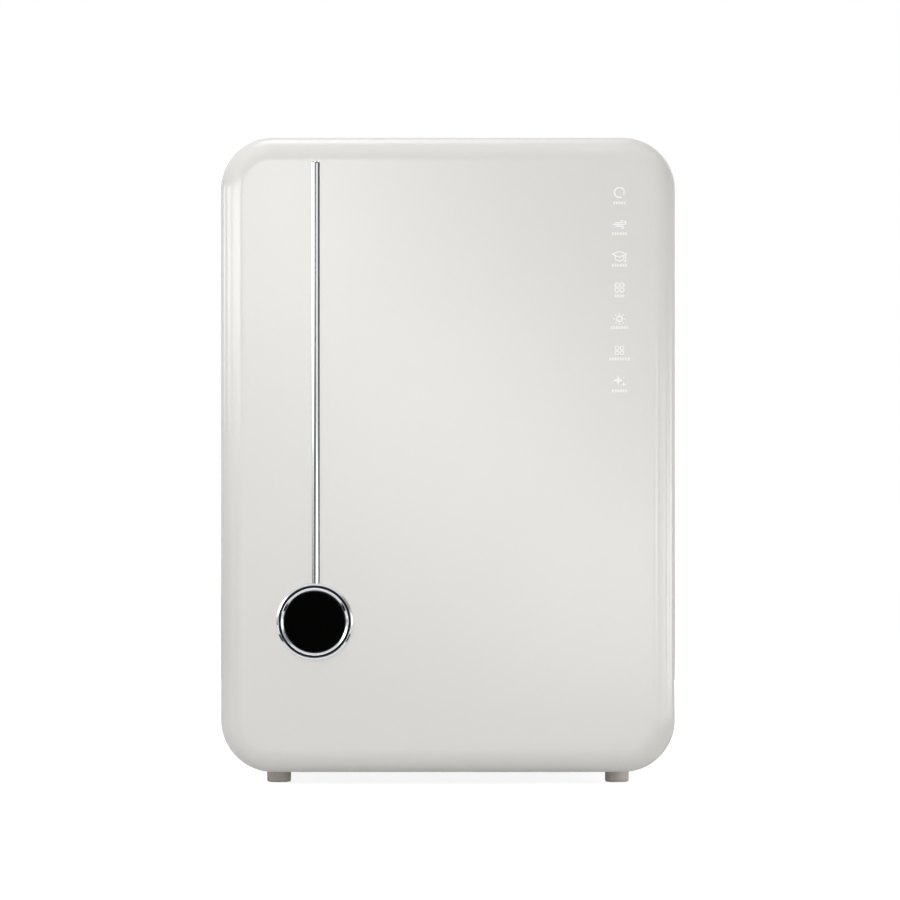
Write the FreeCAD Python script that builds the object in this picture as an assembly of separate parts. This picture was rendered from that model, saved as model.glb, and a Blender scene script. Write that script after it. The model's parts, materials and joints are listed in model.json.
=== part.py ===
import FreeCAD, Part
import math
import os

from FreeCAD import Vector

# Baby bottle sterilizer: a countertop cabinet with one door, in millimetres.
# X runs to the viewer's right, Y runs from the door to the back, Z runs up.
# The origin is on the floor under the middle of the outer box.

# Outer case
WIDTH = 330.0
HEIGHT = 470.0
DEPTH = 345.0
FOOT_HEIGHT = 9.0
CORNER_RADIUS = 38.0
WALL = 3.0
FIT = 0.2
RING_STANDOFF = 2.5
DOOR_SHELL_DEPTH = 32.0
DOOR_DEPTH = 44.0
DOOR_GAP = 2.0
SPACER_DEPTH = 12.5

FRONT = -DEPTH / 2
REAR = DEPTH / 2
DOOR_FACE = FRONT + RING_STANDOFF
DOOR_SEAM = DOOR_FACE + DOOR_SHELL_DEPTH
DOOR_BACK = DOOR_FACE + DOOR_DEPTH
CABINET_FRONT = DOOR_BACK + DOOR_GAP
CABINET_BACK = REAR - SPACER_DEPTH
BODY_HEIGHT = HEIGHT - FOOT_HEIGHT
BODY_MID_Z = FOOT_HEIGHT + BODY_HEIGHT / 2
INNER_WIDTH = WIDTH - 2 * WALL
INNER_HEIGHT = BODY_HEIGHT - 2 * WALL
INNER_RADIUS = CORNER_RADIUS - WALL

DOOR_FRONT_ROUND = 16.0
DOOR_BACK_ROUND = 6.0
CABINET_EDGE_ROUND = 3.0

# Plates that close the case and the door
FRAME_PLATE = 4.0
FRAME_BACK = CABINET_FRONT + FRAME_PLATE
COVER_PLATE = 3.0
COVER_FRONT = CABINET_BACK - COVER_PLATE
COVER_BOSS_RADIUS = 6.0
COVER_BOSS_FRONT = 130.0
COVER_RIB_REACH = 10.5
DOOR_PANEL = 4.0
DOOR_FLOOR = DOOR_BACK - DOOR_PANEL
DOOR_POST_RADIUS = 4.0

# Chamber
CHAMBER_WIDTH = 262.0
CHAMBER_HEIGHT = 336.0
CHAMBER_RADIUS = 13.0
CHAMBER_Z = 248.0
CHAMBER_BACK = 110.0
SHEET = 1.0
BACK_SHEET = 1.2
BACK_SHEET_REAR = CHAMBER_BACK + BACK_SHEET
SLEEVE_PLAY = 0.3
SLEEVE_WALL = 2.0
SLEEVE_DEPTH = 14.0
AIR_SLOT_PITCH = 9.0
AIR_SLOT_HEIGHT = 4.0
CHAMBER_HALF = CHAMBER_WIDTH / 2
CHAMBER_FLOOR = CHAMBER_Z - CHAMBER_HEIGHT / 2
CHAMBER_TOP = CHAMBER_Z + CHAMBER_HEIGHT / 2

# Feet
FOOT_X = 123.8
FOOT_Y = (-113.0, 135.0)
FOOT_RADIUS = 8.75
FOOT_EDGE_ROUND = 1.6
FOOT_SINK_RADIUS = 4.2
FOOT_SINK = 4.0
FOOT_SCREW_RADIUS = 2.0
FOOT_SCREW_HOLE = 2.1
FOOT_SCREW_HEAD = (3.8, 2.4)
FOOT_SCREW_LENGTH = 14.0
BASE_REACH = 127.0
BASE_ENDS = (-118.0, 148.0)
BASE_SHEET = 1.5
BASE_FLOOR = FOOT_HEIGHT + WALL
BASE_TOP = BASE_FLOOR + BASE_SHEET

# Hinge on the right side
HINGE_X = WIDTH / 2 - DOOR_BACK_ROUND
HINGE_Y = DOOR_BACK - DOOR_BACK_ROUND
HINGE_Z = {"lower": 70.0, "upper": 410.0}
PIN_RADIUS = 2.0
PIN_CLEARANCE = 0.05
PIN_LENGTH = 22.0
BUSH_RADIUS = 3.2
BUSH_LENGTH = 8.0
ARM_THICKNESS = 3.0
ARM_RADIUS = 3.5
ARM_GAP = 0.7
ARM_WAY = (151.0, 160.5)
FLANGE_LEFT = 135.5
FLANGE_THICKNESS = 3.0
FLANGE_HALF_HEIGHT = 16.0
KNUCKLE_HEIGHT = 28.0
KNUCKLE_REACH = 7.5

# Trim strip and round button
TRIM_X = -96.6
STRIP_WIDTH = 6.3
STRIP_TOP = 452.0
STRIP_SEAT = 1.5
STRIP_SIDE = 0.5
STRIP_RIDGE = 1.4
BUTTON_Z = 118.7
BUTTON_TRAVEL = 3.0
BEZEL_RADIUS = 27.75
BEZEL_BORE = 26.2
BEZEL_SLEEVE = 27.0
BEZEL_PROUD = 1.8
BEZEL_DEPTH = 10.0
BRIGHT_EDGE_ROUND = 0.6
RING_RADIUS = 24.8
CARRIER_RADIUS = 25.5
RING_BACK = DOOR_FACE + 4.0
DISC_RADIUS = 22.5
DISC_SINK = 0.7
DISC_BACK = DOOR_FACE + 1.0
STEM_WIDTH = 10.0
CARRIER_BACK = DOOR_FACE + 6.5
GUIDE_FRONT = DOOR_FACE + 18.0
GUIDE_THICKNESS = 2.5
GUIDE_HALF = 28.0
GUIDE_POST = 24.0
GUIDE_POST_RADIUS = 3.0
GUIDE_PLAY = 0.4
SPRING_RADIUS = 9.0
SPRING_WIRE = 0.5
SPRING_TURNS = 4

# Latch
LATCH_FRONT = DOOR_SEAM - 4.0
LATCH_BACK = LATCH_FRONT + 5.0
LATCH_HEIGHT = 18.0
LATCH_LEFT = -152.0
LATCH_RIGHT = -80.0
WEDGE_GAP = 0.3
HOOK_ARM = (-149.8, -145.0)
HOOK_NOSE_LEFT = -153.2
HOOK_HEIGHT = 8.0
HOOK_GAP = 0.8
HOOK_DEPTH = 4.6
HOOK_SLOPE = 2.0
STEM_LEAD = 1.0
LATCH_GAP = 0.4
LATCH_LIP = 1.6
LATCH_RAIL = (-140.0, -84.0)
LATCH_RAIL_WIDTH = 3.0
SPRING_STOP = -68.0
LATCH_SPRING_RADIUS = 2.0
LATCH_SPRING_WIRE = 0.35
LATCH_SPRING_TURNS = 5
STRIKER_LIP = -150.5
STRIKER_RIGHT = -141.0
STRIKER_PLATE = (-158.0, -137.5)
STRIKER_HALF_HEIGHT = 18.0
STRIKER_SCREW = (-149.0, 13.0)
STRIKER_BACK = FRAME_BACK + 1.5

# Magnet and switch that sense the closed door
SENSOR_PLACE = (-150.0, 180.0)
MAGNET_RADIUS = 4.0
MAGNET_DEPTH = 4.0

# Symbols on the door
ICON_X = 124.2
ICON_Z = (429.6, 406.5, 383.2, 360.7, 338.1, 315.6, 292.9)
ICON_RADIUS = 4.8
ICON_SKIN = 0.8
GUIDE_STRIP = (284.0, 440.0)
GUIDE_STRIP_HALF = 8.0
GUIDE_STRIP_DEPTH = 2.0
TOUCH_BOARD = (282.0, 442.0)
TOUCH_BOARD_HALF = 14.0
TOUCH_BOARD_BACK = DOOR_FACE + 6.6

# Fastenings shared by several pieces
SCREW_RADIUS = 1.5
SCREW_HOLE = 1.7
SCREW_HEAD = 2.9
SCREW_SINK = 1.7
SCREW_HEAD_HEIGHT = 1.8
SCREW_HEAD_ROUND = 0.8
SCREW_CROSS = (1.6, 0.35, 1.0)
HEAD_PLAY = 0.2
BOARD_SHEET = 1.6
BRACKET_SCREW_X = 146.0
BRACKET_SCREW_STEP = 10.0
DOOR_SCREW_PLACES = (
    (-148.5, 60.0), (-148.5, 239.5), (-148.5, 420.0),
    (148.0, 40.0), (148.0, 239.5), (148.0, 436.0),
    (-75.0, 448.0), (75.0, 448.0), (-75.0, 31.0), (75.0, 31.0),
)
COVER_SCREW_PLACES = [(x, z) for x in (-153.0, 153.0) for z in (60.0, 239.5, 420.0)]
COVER_SCREW_LENGTH = 13.0
DOOR_SCREW_LENGTH = 14.0
FRAME_SCREW_LENGTH = 8.0

# Gasket
GASKET_WIDTH = 282.0
GASKET_HEIGHT = 356.0
GASKET_BAND = 6.0
GASKET_ROOT = 4.0
GASKET_ROOT_DEPTH = 2.0
GASKET_PROUD = 1.6
GASKET_CORNER = 18.0
REFLECTOR_CORNER = 12.0
REFLECTOR_SHEET = 0.8

# Air path at the back
FAN_X = 70.0
FAN_Z = 130.0
FAN_SIZE = 80.0
FAN_FRONT = 130.0
FAN_BACK = 150.0
FAN_BORE = 37.5
FAN_CORNER = 4.0
FAN_SCREW = (35.75, 2.1)
FAN_PLATE = 2.5
HUB_RADIUS = 13.5
BEARING_RADIUS = 4.0
BEARING_LENGTH = 14.0
SHAFT_RADIUS = 1.5
WINDING_RADIUS = 11.0
CUP_RADIUS = 15.0
CUP_WALL = 2.5
BLADE_RADIUS = 36.2
BLADE_COUNT = 7
BLADE_CHORD = 18.0
BLADE_SHEET = 1.4
BLADE_PITCH = 52.0
HEATER_DEPTH = (115.0, 126.0)
HEATER_ROWS = 4
HEATER_ROW_PITCH = 19.0
FIN_COUNT = 16
FIN_PITCH = 4.0
FIN_SHEET = 0.6
DUCT_WALL = 2.0
EXHAUST_X = -70.0
EXHAUST_Z = 370.0
EXHAUST_DUCT = (74.0, 62.0)
EXHAUST_SLOTS = 8
EXHAUST_PITCH = 6.5
EXHAUST_SLOT = (66.0, 3.2)
SPACER_PLACES = [(x, z) for x in (-135.0, 135.0) for z in (100.0, 340.0)]
SPACER_RADIUS = 9.0
SPACER_ROUND = 3.0
FILTER_SIZE = 90.0
FILTER_PLAY = 1.0
FILTER_WALL = 2.0
FILTER_LIP = 4.0
GRILLE_BARS = 13
GRILLE_PITCH = 6.6
GRILLE_BAR = 2.2
GRILLE_STAY = 2.0

# Ultraviolet modules
TOP_UV_SIZE = (160.0, 60.0)
REAR_UV_SIZE = (50.0, 140.0)
REAR_UV_Z = 250.0
UV_GLASS = 2.0
UV_GLASS_LAP = 2.0
UV_BOX_PLAY = 2.2
UV_BOX_WALL = 5.0
UV_BOX_DEPTH = 20.0
UV_BOARD_DEPTH = 17.0
UV_BOARD_MARGIN = 4.0
UV_CHIP = 3.6
UV_CHIP_HEIGHT = 1.3
TOP_CHIPS = (6, 25.0, 12.0)
REAR_CHIPS = (6, 21.0)

# Racks
RACK_HALF_WIDTH = 125.0
RACK_HALF_DEPTH = 100.0
RAIL_TOP = {"lower": 108.0, "upper": 246.0}
RAIL_REACH = 12.0
RAIL_SHEET = 1.2
RAIL_ENDS = (-112.0, 104.0)
RAIL_LIP = 6.0
STRAP_Y = (-98.0, 88.0)
STRAP_HALF = 6.0
STRAP_OVERHANG = 14.0
RACK_PLAY = 0.3
FRAME_WIRE = 2.0
BAR_WIRE = 1.3
BAR_COUNT = 15
BAR_PITCH = 15.4
CROSS_BAR_REACH = 113.0
CROSS_BAR_Y = (-60.0, 0.0, 60.0)
CROSS_BAR_DROP = 2.3
SIDE_UPRIGHT_Y = (-60.0, -20.0, 20.0, 60.0)
RIM_LEAN = 6.0
RIM_BEND = 10.0
RIM_CUT_STEP = 2.5
RIM_RISE = {"lower": 22.0, "upper": 40.0}
TRAY_Z = CHAMBER_FLOOR + 0.4
TRAY_HEIGHT = 10.0
TRAY_HALF_WIDTH = 116.0
TRAY_ENDS = (-104.0, 100.0)
TRAY_WALL = 1.6
TRAY_CORNER = 10.0

# Power inlet
INLET_X = -100.0
INLET_Z = 45.0
INLET_BODY = (13.3, 9.8)
INLET_FLANGE = (16.5, 13.0)
INLET_FLANGE_PROUD = 2.2
INLET_RECESS = (12.1, 8.1)
INLET_FRONT = 137.0
RECESS_FRONT = 144.0
BLADE_TIP = 158.0
BLADE_PLACES = ((-7.0, -2.0), (7.0, -2.0), (0.0, 4.0))
BLADE_HALF = (1.0, 2.0)

# Boards on the base plate
BOARD_LEG = 7.0
BOARD_LEG_RADIUS = 3.0
BOARD_LEG_INSET = 6.0
BOARD_ENDS = (20.0, 110.0)
POWER_BOARD_SIDES = (-112.0, 8.0)
MAIN_BOARD_SIDES = (30.0, 118.0)
LOOM_X = 145.0
LOOM_Y = 96.0
LOOM_BEND = 14.0
LOOM_RADIUS = 2.5


# Basic shapes

def box(x_range, y_range, z_range):
    """A block between two values along each axis."""
    size = [high - low for low, high in (x_range, y_range, z_range)]
    return Part.makeBox(*size, Vector(x_range[0], y_range[0], z_range[0]))


def rod_y(radius, y_range, x, z):
    """A round bar along Y."""
    length = y_range[1] - y_range[0]
    return Part.makeCylinder(radius, length, Vector(x, y_range[0], z), Vector(0, 1, 0))


def rod_z(radius, z_range, x, y):
    """A round bar along Z."""
    return Part.makeCylinder(radius, z_range[1] - z_range[0], Vector(x, y, z_range[0]))


def tube_y(outer, inner, y_range, x, z):
    """A round sleeve along Y."""
    return rod_y(outer, y_range, x, z).cut(rod_y(inner, y_range, x, z))


def edges_along(shape, axis):
    """The straight edges that run along one axis, 0 for X, 1 for Y and 2 for Z."""
    found = []
    for edge in shape.Edges:
        if isinstance(edge.Curve, Part.Line) and abs(edge.tangentAt(edge.FirstParameter)[axis]) > 0.999:
            found.append(edge)
    return found


def edges_at_y(shape, y):
    """The edges that lie wholly in the upright plane at one depth."""
    found = []
    for edge in shape.Edges:
        bounds = edge.BoundBox
        if abs(bounds.YMin - y) < 1e-4 and abs(bounds.YMax - y) < 1e-4:
            found.append(edge)
    return found


def round_block(width, height, y_range, radius, x=0.0, z=BODY_MID_Z):
    """A block whose four corners are round when seen from the front."""
    block = box((x - width / 2, x + width / 2), y_range, (z - height / 2, z + height / 2))
    return block.makeFillet(radius, edges_along(block, 1))


def round_frame(outer, inner, y_range, outer_radius, inner_radius, x=0.0, z=BODY_MID_Z):
    """A ring with round corners, given by its outer and inner width and height."""
    ring = round_block(outer[0], outer[1], y_range, outer_radius, x, z)
    return ring.cut(round_block(inner[0], inner[1], y_range, inner_radius, x, z))


def join(shapes):
    """One solid from several that touch or overlap."""
    shapes = list(shapes)
    return shapes[0].multiFuse(shapes[1:]).removeSplitter()


def bent_path(points, radius):
    """Straight runs joined by arcs that touch them smoothly."""
    edges = []
    start = points[0]
    for before, corner, after in zip(points, points[1:], points[2:]):
        back = (before - corner).normalize()
        ahead = (after - corner).normalize()
        half_turn = back.getAngle(ahead) / 2
        enter = corner + back * (radius / math.tan(half_turn))
        leave = corner + ahead * (radius / math.tan(half_turn))
        middle_way = (back + ahead).normalize()
        middle = corner + middle_way * (radius / math.sin(half_turn) - radius)
        edges.append(Part.LineSegment(start, enter).toShape())
        edges.append(Part.Arc(enter, middle, leave).toShape())
        start = leave
    edges.append(Part.LineSegment(start, points[-1]).toShape())
    return Part.Wire(edges)


def wire_along(path, radius):
    """A round wire swept along a path."""
    first = path.OrderedEdges[0]
    start = first.valueAt(first.FirstParameter)
    heading = first.tangentAt(first.FirstParameter)
    section = Part.Wire([Part.Circle(start, heading, radius).toShape()])
    return path.makePipeShell([section], True, False)


def coil(start, direction, side, radius, wire, turns, length):
    """An open coil spring, built from quarter turns."""
    other = direction.cross(side)
    quarters = turns * 4

    def place(step):
        angle = step * math.pi / 2
        around = side * math.cos(angle) + other * math.sin(angle)
        return start + around * radius + direction * (length * step / quarters)

    arcs = [Part.Arc(place(n), place(n + 0.5), place(n + 1)).toShape() for n in range(quarters)]
    return wire_along(Part.Wire(arcs), wire)


def screw_y(x, z, head_y, length, towards):
    """A pan head screw along Y: the head stands on the plane head_y, the shank goes inwards."""
    head_end = head_y - SCREW_HEAD_HEIGHT * towards
    tip = head_y + length * towards
    head = rod_y(SCREW_HEAD, sorted((head_y, head_end)), x, z)
    head = head.makeFillet(SCREW_HEAD_ROUND, edges_at_y(head, head_end))
    long, short, deep = SCREW_CROSS
    slot = sorted((head_end, head_end + deep * towards))
    slots = [
        box((x - long, x + long), slot, (z - short, z + short)),
        box((x - short, x + short), slot, (z - long, z + long)),
    ]
    return join([head, rod_y(SCREW_RADIUS, sorted((head_y, tip)), x, z)]).cut(slots)


# Outer case

def cabinet_shell():
    """The wrap-round plastic case, open at the front and at the back."""
    depth = (CABINET_FRONT, CABINET_BACK)
    shell = round_block(WIDTH, BODY_HEIGHT, depth, CORNER_RADIUS)
    shell = shell.makeFillet(CABINET_EDGE_ROUND, edges_at_y(shell, CABINET_FRONT))
    shell = shell.cut(round_block(INNER_WIDTH, INNER_HEIGHT, depth, INNER_RADIUS))
    boss = (COVER_BOSS_FRONT, COVER_FRONT)
    bosses = []
    holes = []
    for x, z in COVER_SCREW_PLACES:
        rib = sorted((x, x + math.copysign(COVER_RIB_REACH, x)))
        bosses.append(rod_y(COVER_BOSS_RADIUS, boss, x, z))
        bosses.append(box(rib, boss, (z - WALL, z + WALL)))
        holes.append(rod_y(SCREW_HOLE, (COVER_FRONT - COVER_SCREW_LENGTH, COVER_FRONT), x, z))
    for x, y in foot_places():
        holes.append(rod_z(FOOT_SCREW_HOLE, (FOOT_HEIGHT, BASE_FLOOR), x, y))
    return join([shell] + bosses).cut(holes)


def foot_places():
    return [(x, y) for x in (-FOOT_X, FOOT_X) for y in FOOT_Y]


def feet():
    """Four rubber feet, each with a sunk hole for its screw."""
    made = []
    for x, y in foot_places():
        foot = rod_z(FOOT_RADIUS, (0.0, FOOT_HEIGHT), x, y)
        bottom = [edge for edge in foot.Edges if edge.BoundBox.ZMax < 0.1]
        foot = foot.makeFillet(FOOT_EDGE_ROUND, bottom)
        screw_way = rod_z(FOOT_SCREW_HOLE, (0.0, FOOT_HEIGHT), x, y)
        made.append(foot.cut([screw_way, rod_z(FOOT_SINK_RADIUS, (0.0, FOOT_SINK), x, y)]))
    return made


def foot_screws():
    """Four slotted screws, from the feet up through the case and the base plate."""
    radius, height = FOOT_SCREW_HEAD
    low = FOOT_SINK - height
    made = []
    for x, y in foot_places():
        head = rod_z(radius, (low, FOOT_SINK), x, y)
        shank = rod_z(FOOT_SCREW_RADIUS, (FOOT_SINK, FOOT_SINK + FOOT_SCREW_LENGTH), x, y)
        slot = box((x - 2.2, x + 2.2), (y - 0.45, y + 0.45), (low, low + height / 2))
        made.append(join([head, shank]).cut(slot))
    return made


def base_plate():
    """The steel plate in the bottom that stiffens the case and takes the foot screws."""
    plate = box((-BASE_REACH, BASE_REACH), BASE_ENDS, (BASE_FLOOR, BASE_TOP))
    return plate.cut([rod_z(FOOT_SCREW_HOLE, (BASE_FLOOR, BASE_TOP), x, y) for x, y in foot_places()])


def front_frame():
    """The white face plate round the chamber, with a sleeve that holds the liner."""
    depth = (CABINET_FRONT, FRAME_BACK)
    plate = round_block(INNER_WIDTH - 2 * FIT, INNER_HEIGHT - 2 * FIT, depth, INNER_RADIUS - FIT)
    mouth = round_block(CHAMBER_WIDTH, CHAMBER_HEIGHT, depth, CHAMBER_RADIUS, z=CHAMBER_Z)
    inner = SHEET + SLEEVE_PLAY
    outer = inner + SLEEVE_WALL
    sleeve = round_frame(
        (CHAMBER_WIDTH + 2 * outer, CHAMBER_HEIGHT + 2 * outer),
        (CHAMBER_WIDTH + 2 * inner, CHAMBER_HEIGHT + 2 * inner),
        (FRAME_BACK, FRAME_BACK + SLEEVE_DEPTH),
        CHAMBER_RADIUS + outer,
        CHAMBER_RADIUS + inner,
        z=CHAMBER_Z,
    )
    hook_way = HOOK_HEIGHT / 2 + 3.0
    arm_way = ARM_THICKNESS / 2 + FIT + 0.1
    cuts = [box((STRIKER_LIP - 6.5, STRIKER_RIGHT), depth, (BUTTON_Z - hook_way, BUTTON_Z + hook_way))]
    for height in HINGE_Z.values():
        way = (ARM_WAY[0] - 0.3, ARM_WAY[1] + 0.3)
        cuts.append(box(way, depth, (height - arm_way, height + arm_way)))
    for x, z in frame_screw_places():
        cuts.append(rod_y(SCREW_HOLE, depth, x, z))
        cuts.append(rod_y(SCREW_HEAD + HEAD_PLAY, (CABINET_FRONT, CABINET_FRONT + SCREW_SINK), x, z))
    return join([plate.cut(mouth), sleeve]).cut(cuts)


def frame_screw_places():
    """Screws through the front frame into the hinge brackets and the striker plate."""
    step = BRACKET_SCREW_STEP
    places = [(BRACKET_SCREW_X, height + way) for height in HINGE_Z.values() for way in (-step, step)]
    x, step = STRIKER_SCREW
    return places + [(x, BUTTON_Z - step), (x, BUTTON_Z + step)]


def frame_screws():
    seat = CABINET_FRONT + SCREW_SINK
    return [screw_y(x, z, seat, FRAME_SCREW_LENGTH, 1) for x, z in frame_screw_places()]


def rear_cover():
    """The back plate, with a filter bay, exhaust slots and the hole for the power inlet."""
    depth = (COVER_FRONT, CABINET_BACK)
    cover = round_block(INNER_WIDTH - 2 * FIT, INNER_HEIGHT - 2 * FIT, depth, INNER_RADIUS - FIT)
    cuts = [square_y(FILTER_SIZE / 2 + FILTER_PLAY, depth)]
    half_x, half_z = EXHAUST_SLOT[0] / 2, EXHAUST_SLOT[1] / 2
    for row in range(EXHAUST_SLOTS):
        z = EXHAUST_Z + (row - (EXHAUST_SLOTS - 1) / 2) * EXHAUST_PITCH
        cuts.append(box((EXHAUST_X - half_x, EXHAUST_X + half_x), depth, (z - half_z, z + half_z)))
    half_x, half_z = INLET_BODY[0] + FIT, INLET_BODY[1] + FIT
    cuts.append(box((INLET_X - half_x, INLET_X + half_x), depth, (INLET_Z - half_z, INLET_Z + half_z)))
    cuts += [rod_y(SCREW_HOLE, depth, x, z) for x, z in COVER_SCREW_PLACES]
    return cover.cut(cuts)


def wall_spacers():
    """Four bumps that keep the air slots clear of a wall."""
    bumps = [rod_y(SPACER_RADIUS, (CABINET_BACK, REAR), x, z) for x, z in SPACER_PLACES]
    return [bump.makeFillet(SPACER_ROUND, edges_at_y(bump, REAR)) for bump in bumps]


def rear_cover_screws():
    return [screw_y(x, z, CABINET_BACK, COVER_SCREW_LENGTH, -1) for x, z in COVER_SCREW_PLACES]


# Hinge and catch on the cabinet

def hinge_bracket(height):
    """A steel angle: a flange behind the front frame and an arm that carries the pin."""
    flange = box(
        (FLANGE_LEFT, ARM_WAY[1]),
        (FRAME_BACK, FRAME_BACK + FLANGE_THICKNESS),
        (height - FLANGE_HALF_HEIGHT, height + FLANGE_HALF_HEIGHT),
    )
    low = height - ARM_THICKNESS / 2
    outline = [
        Vector(HINGE_X - ARM_RADIUS, HINGE_Y, low),
        Vector(HINGE_X - ARM_RADIUS, DOOR_BACK, low),
        Vector(ARM_WAY[0], CABINET_FRONT, low),
        Vector(ARM_WAY[0], FRAME_BACK + 1.0, low),
        Vector(ARM_WAY[1], FRAME_BACK + 1.0, low),
        Vector(ARM_WAY[1], CABINET_FRONT, low),
        Vector(HINGE_X + ARM_RADIUS, CABINET_FRONT - 3.0, low),
        Vector(HINGE_X + ARM_RADIUS, HINGE_Y, low),
    ]
    arm = Part.Face(Part.makePolygon(outline + outline[:1])).extrude(Vector(0, 0, ARM_THICKNESS))
    eye = rod_z(ARM_RADIUS, (low, low + ARM_THICKNESS), HINGE_X, HINGE_Y)
    holes = [rod_z(PIN_RADIUS + 0.02, (low, low + ARM_THICKNESS), HINGE_X, HINGE_Y)]
    for step in (-BRACKET_SCREW_STEP, BRACKET_SCREW_STEP):
        through = (CABINET_FRONT, FRAME_BACK + 2 * FLANGE_THICKNESS)
        holes.append(rod_y(SCREW_HOLE, through, BRACKET_SCREW_X, height + step))
    return join([flange, arm, eye]).cut(holes)


def hinge_pins():
    """Two steel pins, each fixed in a bracket's arm."""
    made = []
    for height in HINGE_Z.values():
        ends = (height - PIN_LENGTH / 2, height + PIN_LENGTH / 2)
        pin = rod_z(PIN_RADIUS, ends, HINGE_X, HINGE_Y)
        made.append(pin.makeChamfer(0.4, [edge for edge in pin.Edges if edge.Closed]))
    return made


def striker_plate():
    """The steel plate behind the front frame; its left lip holds the latch hook."""
    depth = (FRAME_BACK, STRIKER_BACK)
    plate = box(STRIKER_PLATE, depth, (BUTTON_Z - STRIKER_HALF_HEIGHT, BUTTON_Z + STRIKER_HALF_HEIGHT))
    hook_way = HOOK_HEIGHT / 2 + 2.0
    cuts = [box((STRIKER_LIP, STRIKER_RIGHT), depth, (BUTTON_Z - hook_way, BUTTON_Z + hook_way))]
    x, step = STRIKER_SCREW
    cuts += [rod_y(SCREW_HOLE, depth, x, BUTTON_Z + way) for way in (-step, step)]
    return plate.cut(cuts)


def reed_switch():
    """The small switch that senses the door's magnet."""
    x, z = SENSOR_PLACE
    return box((x - 3.0, x + 3.0), (FRAME_BACK, FRAME_BACK + 6.0), (z - 8.0, z + 8.0))


# Door

def door_form(y_range):
    """The door's full outer form, cut to a range of depth."""
    form = round_block(WIDTH, BODY_HEIGHT, (DOOR_FACE, DOOR_BACK), CORNER_RADIUS)
    form = form.makeFillet(DOOR_FRONT_ROUND, edges_at_y(form, DOOR_FACE))
    form = form.makeFillet(DOOR_BACK_ROUND, edges_at_y(form, DOOR_BACK))
    return form.common(box((-WIDTH, WIDTH), y_range, (0.0, HEIGHT)))


def door_outer_shell():
    """The glossy door front: a deep shell with ribs for screws and a hole for the button."""
    shell = door_form((DOOR_FACE, DOOR_SEAM))
    hollow = round_block(INNER_WIDTH, INNER_HEIGHT, (DOOR_FACE + WALL, DOOR_BACK), INNER_RADIUS)
    hollow = hollow.makeFillet(DOOR_FRONT_ROUND - WALL, edges_at_y(hollow, DOOR_FACE + WALL))
    posts = []
    cuts = [strip_bar(), rod_y(BEZEL_SLEEVE + 0.1, (DOOR_FACE, DOOR_FACE + WALL), TRIM_X, BUTTON_Z)]
    for x, z in DOOR_SCREW_PLACES:
        posts.append(rod_y(DOOR_POST_RADIUS, (DOOR_FACE + WALL - 1.0, DOOR_FLOOR), x, z))
        cuts.append(rod_y(SCREW_HOLE, (DOOR_FLOOR - DOOR_SCREW_LENGTH, DOOR_FLOOR), x, z))
    for z in ICON_Z:
        cuts.append(rod_y(ICON_RADIUS + 0.2, (DOOR_FACE + ICON_SKIN, DOOR_FACE + WALL), ICON_X, z))
    return join([shell.cut(hollow)] + posts).cut(cuts)


def door_inner_panel():
    """The shallow tray that closes the door from behind and carries bushes and latch guides."""
    tray = door_form((DOOR_SEAM, DOOR_BACK))
    added = [tray.cut(round_block(INNER_WIDTH, INNER_HEIGHT, (DOOR_SEAM, DOOR_FLOOR), INNER_RADIUS))]
    added += latch_guides()
    cuts = [gasket_ring(GASKET_ROOT, (DOOR_BACK - GASKET_ROOT_DEPTH, DOOR_BACK))]
    half = KNUCKLE_HEIGHT / 2
    arm_way = ARM_THICKNESS / 2 + 0.5
    for height in HINGE_Z.values():
        knuckle = (HINGE_X - KNUCKLE_REACH, WIDTH / 2)
        block = box(knuckle, (DOOR_SEAM, DOOR_BACK), (height - half, height + half))
        added.append(block.common(tray))
        cuts.append(rod_z(BUSH_RADIUS + 0.02, (height - half, height + half), HINGE_X, HINGE_Y))
        cuts.append(box(
            (HINGE_X - ARM_RADIUS - ARM_GAP, WIDTH / 2),
            (HINGE_Y - ARM_RADIUS - 3.0, DOOR_BACK),
            (height - arm_way, height + arm_way),
        ))
    hook_z = (BUTTON_Z - HOOK_HEIGHT / 2 - 1.0, BUTTON_Z + HOOK_HEIGHT / 2 + 1.0)
    cuts.append(box((STRIKER_LIP, STRIKER_RIGHT), (DOOR_FLOOR, DOOR_BACK), hook_z))
    for x, z in DOOR_SCREW_PLACES:
        cuts.append(rod_y(SCREW_HOLE, (DOOR_FLOOR, DOOR_BACK), x, z))
        cuts.append(rod_y(SCREW_HEAD + HEAD_PLAY, (DOOR_BACK - SCREW_SINK, DOOR_BACK), x, z))
    return join(added).cut(cuts)


def latch_guides():
    """Two lipped rails above and below the latch, and the stop that its spring leans on."""
    lip_back = LATCH_FRONT - LATCH_GAP
    lip_front = lip_back - LATCH_LIP
    half = LATCH_HEIGHT / 2
    made = []
    for side in (-1, 1):
        inner = BUTTON_Z + side * (half + 0.5)
        outer = inner + side * LATCH_RAIL_WIDTH
        lip = BUTTON_Z + side * (half - 2.0)
        made.append(box(LATCH_RAIL, (lip_front, DOOR_FLOOR), sorted((inner, outer))))
        made.append(box((LATCH_RAIL[0], LATCH_RAIL[0] + 30.0), (lip_front, lip_back), sorted((lip, inner))))
    stop = (SPRING_STOP, SPRING_STOP + LATCH_RAIL_WIDTH)
    made.append(box(stop, (lip_front, DOOR_FLOOR), (BUTTON_Z - 8.0, BUTTON_Z + 8.0)))
    return made


def gasket_ring(band, y_range):
    """A ring of one width on the gasket's middle line."""
    width = GASKET_WIDTH - GASKET_BAND
    height = GASKET_HEIGHT - GASKET_BAND
    return round_frame(
        (width + band, height + band),
        (width - band, height - band),
        y_range,
        GASKET_CORNER + band / 2,
        GASKET_CORNER - band / 2,
        z=CHAMBER_Z,
    )


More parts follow.
